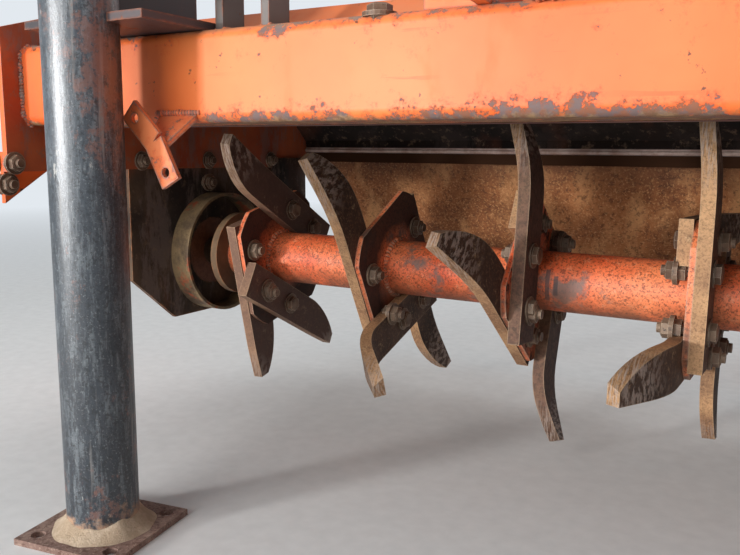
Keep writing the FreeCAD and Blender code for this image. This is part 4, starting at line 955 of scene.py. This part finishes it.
def dry_sand(place):
    """Pale sandy soil with grains and clods."""
    grains = place.noise(240, 6, 0.85)
    clods = place.noise(45, 6, 0.7)
    skin = place.mix(clods.between(0.4, 0.6), colour("bfa78c"), colour("d6c0a6"))
    skin = place.mix(grains.between(0.55, 0.7) * 0.7, skin, colour("9c846a"))
    return {"Base Color": skin, "Roughness": 0.95, "Normal": raised(place, 0.9, 0.003, grains + clods)}


sand = finish_of("dry sand", dry_sand)
wall = PIPE_RADIUS - INTO_PIPE
for side in ("left", "right"):
    foot_low, foot_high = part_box(side + "_stand_foot")
    middle = (Vector(foot_low) + Vector(foot_high)) / 2
    ground = foot_high[2]
    points = []
    for step in range(HEAP_AROUND):
        turn = math.tau * step / HEAP_AROUND
        way = Vector((math.cos(turn), math.sin(turn), 0))
        tall = HEAP_TALL + TALL_VARIES * noise.noise(way * 1.6 + Vector((middle.x * 3, 0, 4)))
        wide = HEAP_WIDE + WIDE_VARIES * noise.noise(way * 2.3 + Vector((0, middle.x, 7)))
        points.append((middle.x + way.x * wall, middle.y + way.y * wall, ground - INTO_FOOT))
        for ring in range(HEAP_RINGS):
            share = ring / (HEAP_RINGS - 1)
            out = wall + wide * share
            rough = HEAP_ROUGH * noise.noise(Vector((way.x * out, way.y * out, share * 0.02)) * 190)
            rise = tall * (1 - share) ** 1.5 + rough * (1 - share) - INTO_FOOT * share
            points.append((middle.x + way.x * out, middle.y + way.y * out, ground + max(rise, -INTO_FOOT)))
    faces = swept(HEAP_RINGS + 1, HEAP_AROUND, closed=True)
    heap = add_piece(side + "_stand_soil", points, faces, sand, smooth=True)
    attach(heap, side + "_stand")

# Bright parts: pins, screws and shafts that are handled or turn, grey steel with brown freckles.
# They have no paint left.


def handled(place):
    """Bare steel, dull where it has freckled."""
    speckle = place.noise(90, 6, 0.7)
    freckles = speckle.between(0.55, 0.68)
    skin = place.mix(place.noise(12, 5).between(0.4, 0.65), colour("8d8781"), colour("aaa49c"))
    return {"Base Color": place.mix(freckles, skin, RUST_PALE), "Metallic": 1 - freckles,
            "Roughness": 0.38 + freckles * 0.4, "Normal": raised(place, 0.3, 0.0005, speckle)}


bright_steel = finish_of("handled steel", handled)
dress(bright_steel, "board_hinge_rod", "drive_input_shaft", "lower_link_pins", "stand_screws")

# Gearbox, bearing hub and drive case: rough orange castings, darkened by oil that holds the dust.
# Their covers and flanges are held by rows of bolts.
HOUSING_BOLT = 0.009
HOUSING_BOLT_TALL = 0.007
INSIDE_PLATES = 1.13
BELOW_HOOD = 0.5


def cast(place):
    """Orange paint on cast iron, with dark soil on what stands inside the end plates."""
    grain = place.noise(160, 4, 0.7)
    oily = place.noise(5, 6, 0.6).between(0.5, 0.68)
    skin = place.mix(place.noise(3, 4).between(0.35, 0.65), colour("dd6a2c"), ORANGE)
    skin = place.mix(oily * 0.8, skin, colour("4c3325"))
    skin = place.mix(worn_edge(place, 0.006) * grain.between(0.35, 0.55), skin, PRIMER)
    skin = place.mix(upward(place, 0.4, 0.95) * 0.5, skin, DUST)
    across = axis_of(place, 0)
    inside = (INSIDE_PLATES ** 2 - across * across).between(0, 0.006)
    below = (BELOW_HOOD - axis_of(place, 2)).between(0, 0.02)
    soil = place.mix(grain.between(0.4, 0.6), colour("4a3226"), colour("6b4a36"))
    skin = place.mix(inside * below * 0.85, skin, soil)
    return {"Base Color": skin, "Roughness": 0.55 - oily * 0.15, "Normal": raised(place, 0.5, 0.0015, grain)}


casting = finish_of("orange casting", cast)
dress(casting, "gearbox", "left_bearing_hub", "side_drive_case")
guard_paint = finish_of("black guard", painted(colour("1d1d1f"), colour("2c2b2b"), colour("4f4a46"),
                                               colour("35302d"), 0.74))
dress(guard_paint, "input_guard")

# The six bolts on the bearing hub's flange, and six on the half round top of the drive case.
HUB_FLANGE = 0.022
HUB_BOLT_RING = 0.079
CASE_TOP_ROUND = 0.117
CASE_BOTTOM_ROUND = 0.124
CASE_BOLT_RING = 0.100
ROUND_BOLTS = 6
hub_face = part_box("left_bearing_hub")[1][0] - HUB_FLANGE
case_low, case_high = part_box("side_drive_case")
case_top = (case_low[1] + CASE_TOP_ROUND, case_high[2] - CASE_TOP_ROUND)
case_bottom = (case_high[1] - CASE_BOTTOM_ROUND, case_low[2] + CASE_BOTTOM_ROUND)
lean = math.atan2(case_top[1] - case_bottom[1], case_top[0] - case_bottom[0])
to_left = (-1, 0, 0)
seats = []
for step in range(ROUND_BOLTS):
    turn = math.tau * (step + 0.5) / ROUND_BOLTS
    seats.append((on_circle(hub_face, AXLE, HUB_BOLT_RING, turn), to_left))
for step in range(ROUND_BOLTS):
    turn = lean - math.pi / 2 + math.pi * step / (ROUND_BOLTS - 1)
    seats.append((on_circle(case_low[0], case_top, CASE_BOLT_RING, turn), to_left))
fasten("case_bolts", "frame", seats, HOUSING_BOLT, HOUSING_BOLT_TALL)

# The gearbox's cover is held along its front and rear edges and its sides, and its plate at the corners.
CASING_LONG = 0.190
COVER_IN = 0.020
SIDE_IN = 0.075
COVER_HALF = 0.100
COVER_INNER = 0.035
PLATE_BOLT_HALF = 0.150
PLATE_BOLT_IN = 0.03
gearbox_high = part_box("gearbox")[1]
gearbox_plate_low, gearbox_plate_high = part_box("gearbox_plate")
casing_back = gearbox_high[1]
casing_front = casing_back - CASING_LONG
cover = gearbox_high[2]
seats = []
for x in (-COVER_HALF, -COVER_INNER, COVER_INNER, COVER_HALF):
    for y in (casing_front + COVER_IN, casing_back - COVER_IN):
        seats.append(((x, y, cover), (0, 0, 1)))
for y in (casing_front + SIDE_IN, casing_back - SIDE_IN):
    for x in (-COVER_HALF, COVER_HALF):
        seats.append(((x, y, cover), (0, 0, 1)))
for x in (-PLATE_BOLT_HALF, PLATE_BOLT_HALF):
    for y in (gearbox_plate_low[1] + PLATE_BOLT_IN, gearbox_plate_high[1] - PLATE_BOLT_IN):
        seats.append(((x, y, gearbox_plate_high[2]), (0, 0, 1)))
fasten("gearbox_bolts", "frame", seats, HOUSING_BOLT, HOUSING_BOLT_TALL)

# Depth wheel: a moulded rubber tyre with blocks round it, on a painted rim with five wheel bolts.
# The tyre is dull with dust and stands in place of the plain one.
BLOCK_LONG = 0.050
BLOCK_WIDE = 0.019
BLOCK_TALL = 0.008
BLOCK_OUT = 0.029
BLOCK_SKEW = 0.35
BLOCK_SEAT = 0.62
BLOCKS = 34
TURNS = 72
WHEEL_BOLTS = 5
WHEEL_BOLT_RING = 0.055
WHEEL_BOLT_OUT = 0.030
tyre_low, tyre_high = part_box("depth_wheel_tyre")
HUB = Vector([(least + most) / 2 for least, most in zip(tyre_low, tyre_high)])
wheel_axis = (HUB.y, HUB.z)
TYRE_RADIUS = (tyre_high[2] - tyre_low[2]) / 2
TYRE_HALF = (tyre_high[0] - tyre_low[0]) / 2
rim_low, rim_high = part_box("depth_wheel_rim")
RIM_RADIUS = (rim_high[2] - rim_low[2]) / 2
# The tyre's outline from its seat on the rim to the tread: how far from the middle, and the radius.
section = [(TYRE_HALF * 0.72, RIM_RADIUS + 0.001), (TYRE_HALF * 0.90, RIM_RADIUS + 0.010),
           (TYRE_HALF * 0.995, RIM_RADIUS + 0.032), (TYRE_HALF * 0.97, RIM_RADIUS + 0.052),
           (TYRE_HALF * 0.86, TYRE_RADIUS - BLOCK_TALL - 0.003), (TYRE_HALF * 0.45, TYRE_RADIUS - BLOCK_TALL)]
section += [(-across, out) for across, out in reversed(section)]
points = [on_circle(HUB.x + across, wheel_axis, out, math.tau * step / TURNS)
          for step in range(TURNS) for across, out in section]


def moulded(place):
    """Dusty black rubber."""
    grain = place.noise(220, 4, 0.7)
    dusty = place.noise(12, 7, 0.7).between(0.42, 0.66)
    skin = place.mix(dusty * 0.6, colour("232221"), colour("77685a"))
    return {"Base Color": skin, "Roughness": 0.8 + grain * 0.1, "Normal": raised(place, 0.4, 0.0008, grain)}


rubber = finish_of("dusty rubber", moulded)
tyre = add_piece("tyre", points, swept(len(section), TURNS, closed=True), rubber, smooth=True)
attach(tyre, "depth_wheel")
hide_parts("depth_wheel_tyre")
block = new_tree("tread block", {"Long": 0.05, "Wide": 0.02, "Tall": BLOCK_TALL})
seat = block["Geometry"]
size = seat.node("CombineXYZ", {}, {0: block["Long"], 1: block["Wide"], 2: block["Tall"]})
brick = seat.node("GeometryNodeMeshCube", {}, {"Size": size})
skew = seat.node("GeometryNodeInputNamedAttribute", {"data_type": "FLOAT"}, {"Name": "skew"})
block_tree = copies_on(block, brick, skew)
seats = []
skews = []
for step in range(BLOCKS):
    for side in (-1, 1):
        turn = math.tau * (step + 0.25 * side) / BLOCKS
        place = on_circle(HUB.x + side * BLOCK_OUT, wheel_axis, TYRE_RADIUS - BLOCK_TALL * BLOCK_SEAT, turn)
        seats.append((place, (0, math.cos(turn), math.sin(turn))))
        skews.append(side * BLOCK_SKEW)
seeds = seeds_at("tyre_blocks", seats)
seeds.attributes.new("skew", "FLOAT", "POINT").data.foreach_set("value", skews)
treads = grow("tyre_blocks", block_tree, seeds, "depth_wheel", Long=BLOCK_LONG, Wide=BLOCK_WIDE,
              Tall=BLOCK_TALL, Finish=rubber)
seats = []
for step in range(WHEEL_BOLTS):
    turn = math.tau * step / WHEEL_BOLTS
    for side in (-1, 1):
        beside = HUB.x + side * WHEEL_BOLT_OUT
        seats.append((on_circle(beside, wheel_axis, WHEEL_BOLT_RING, turn), (side, 0, 0)))
fasten("wheel_bolts", "depth_wheel", seats, head_size=0.010, tall=0.008)
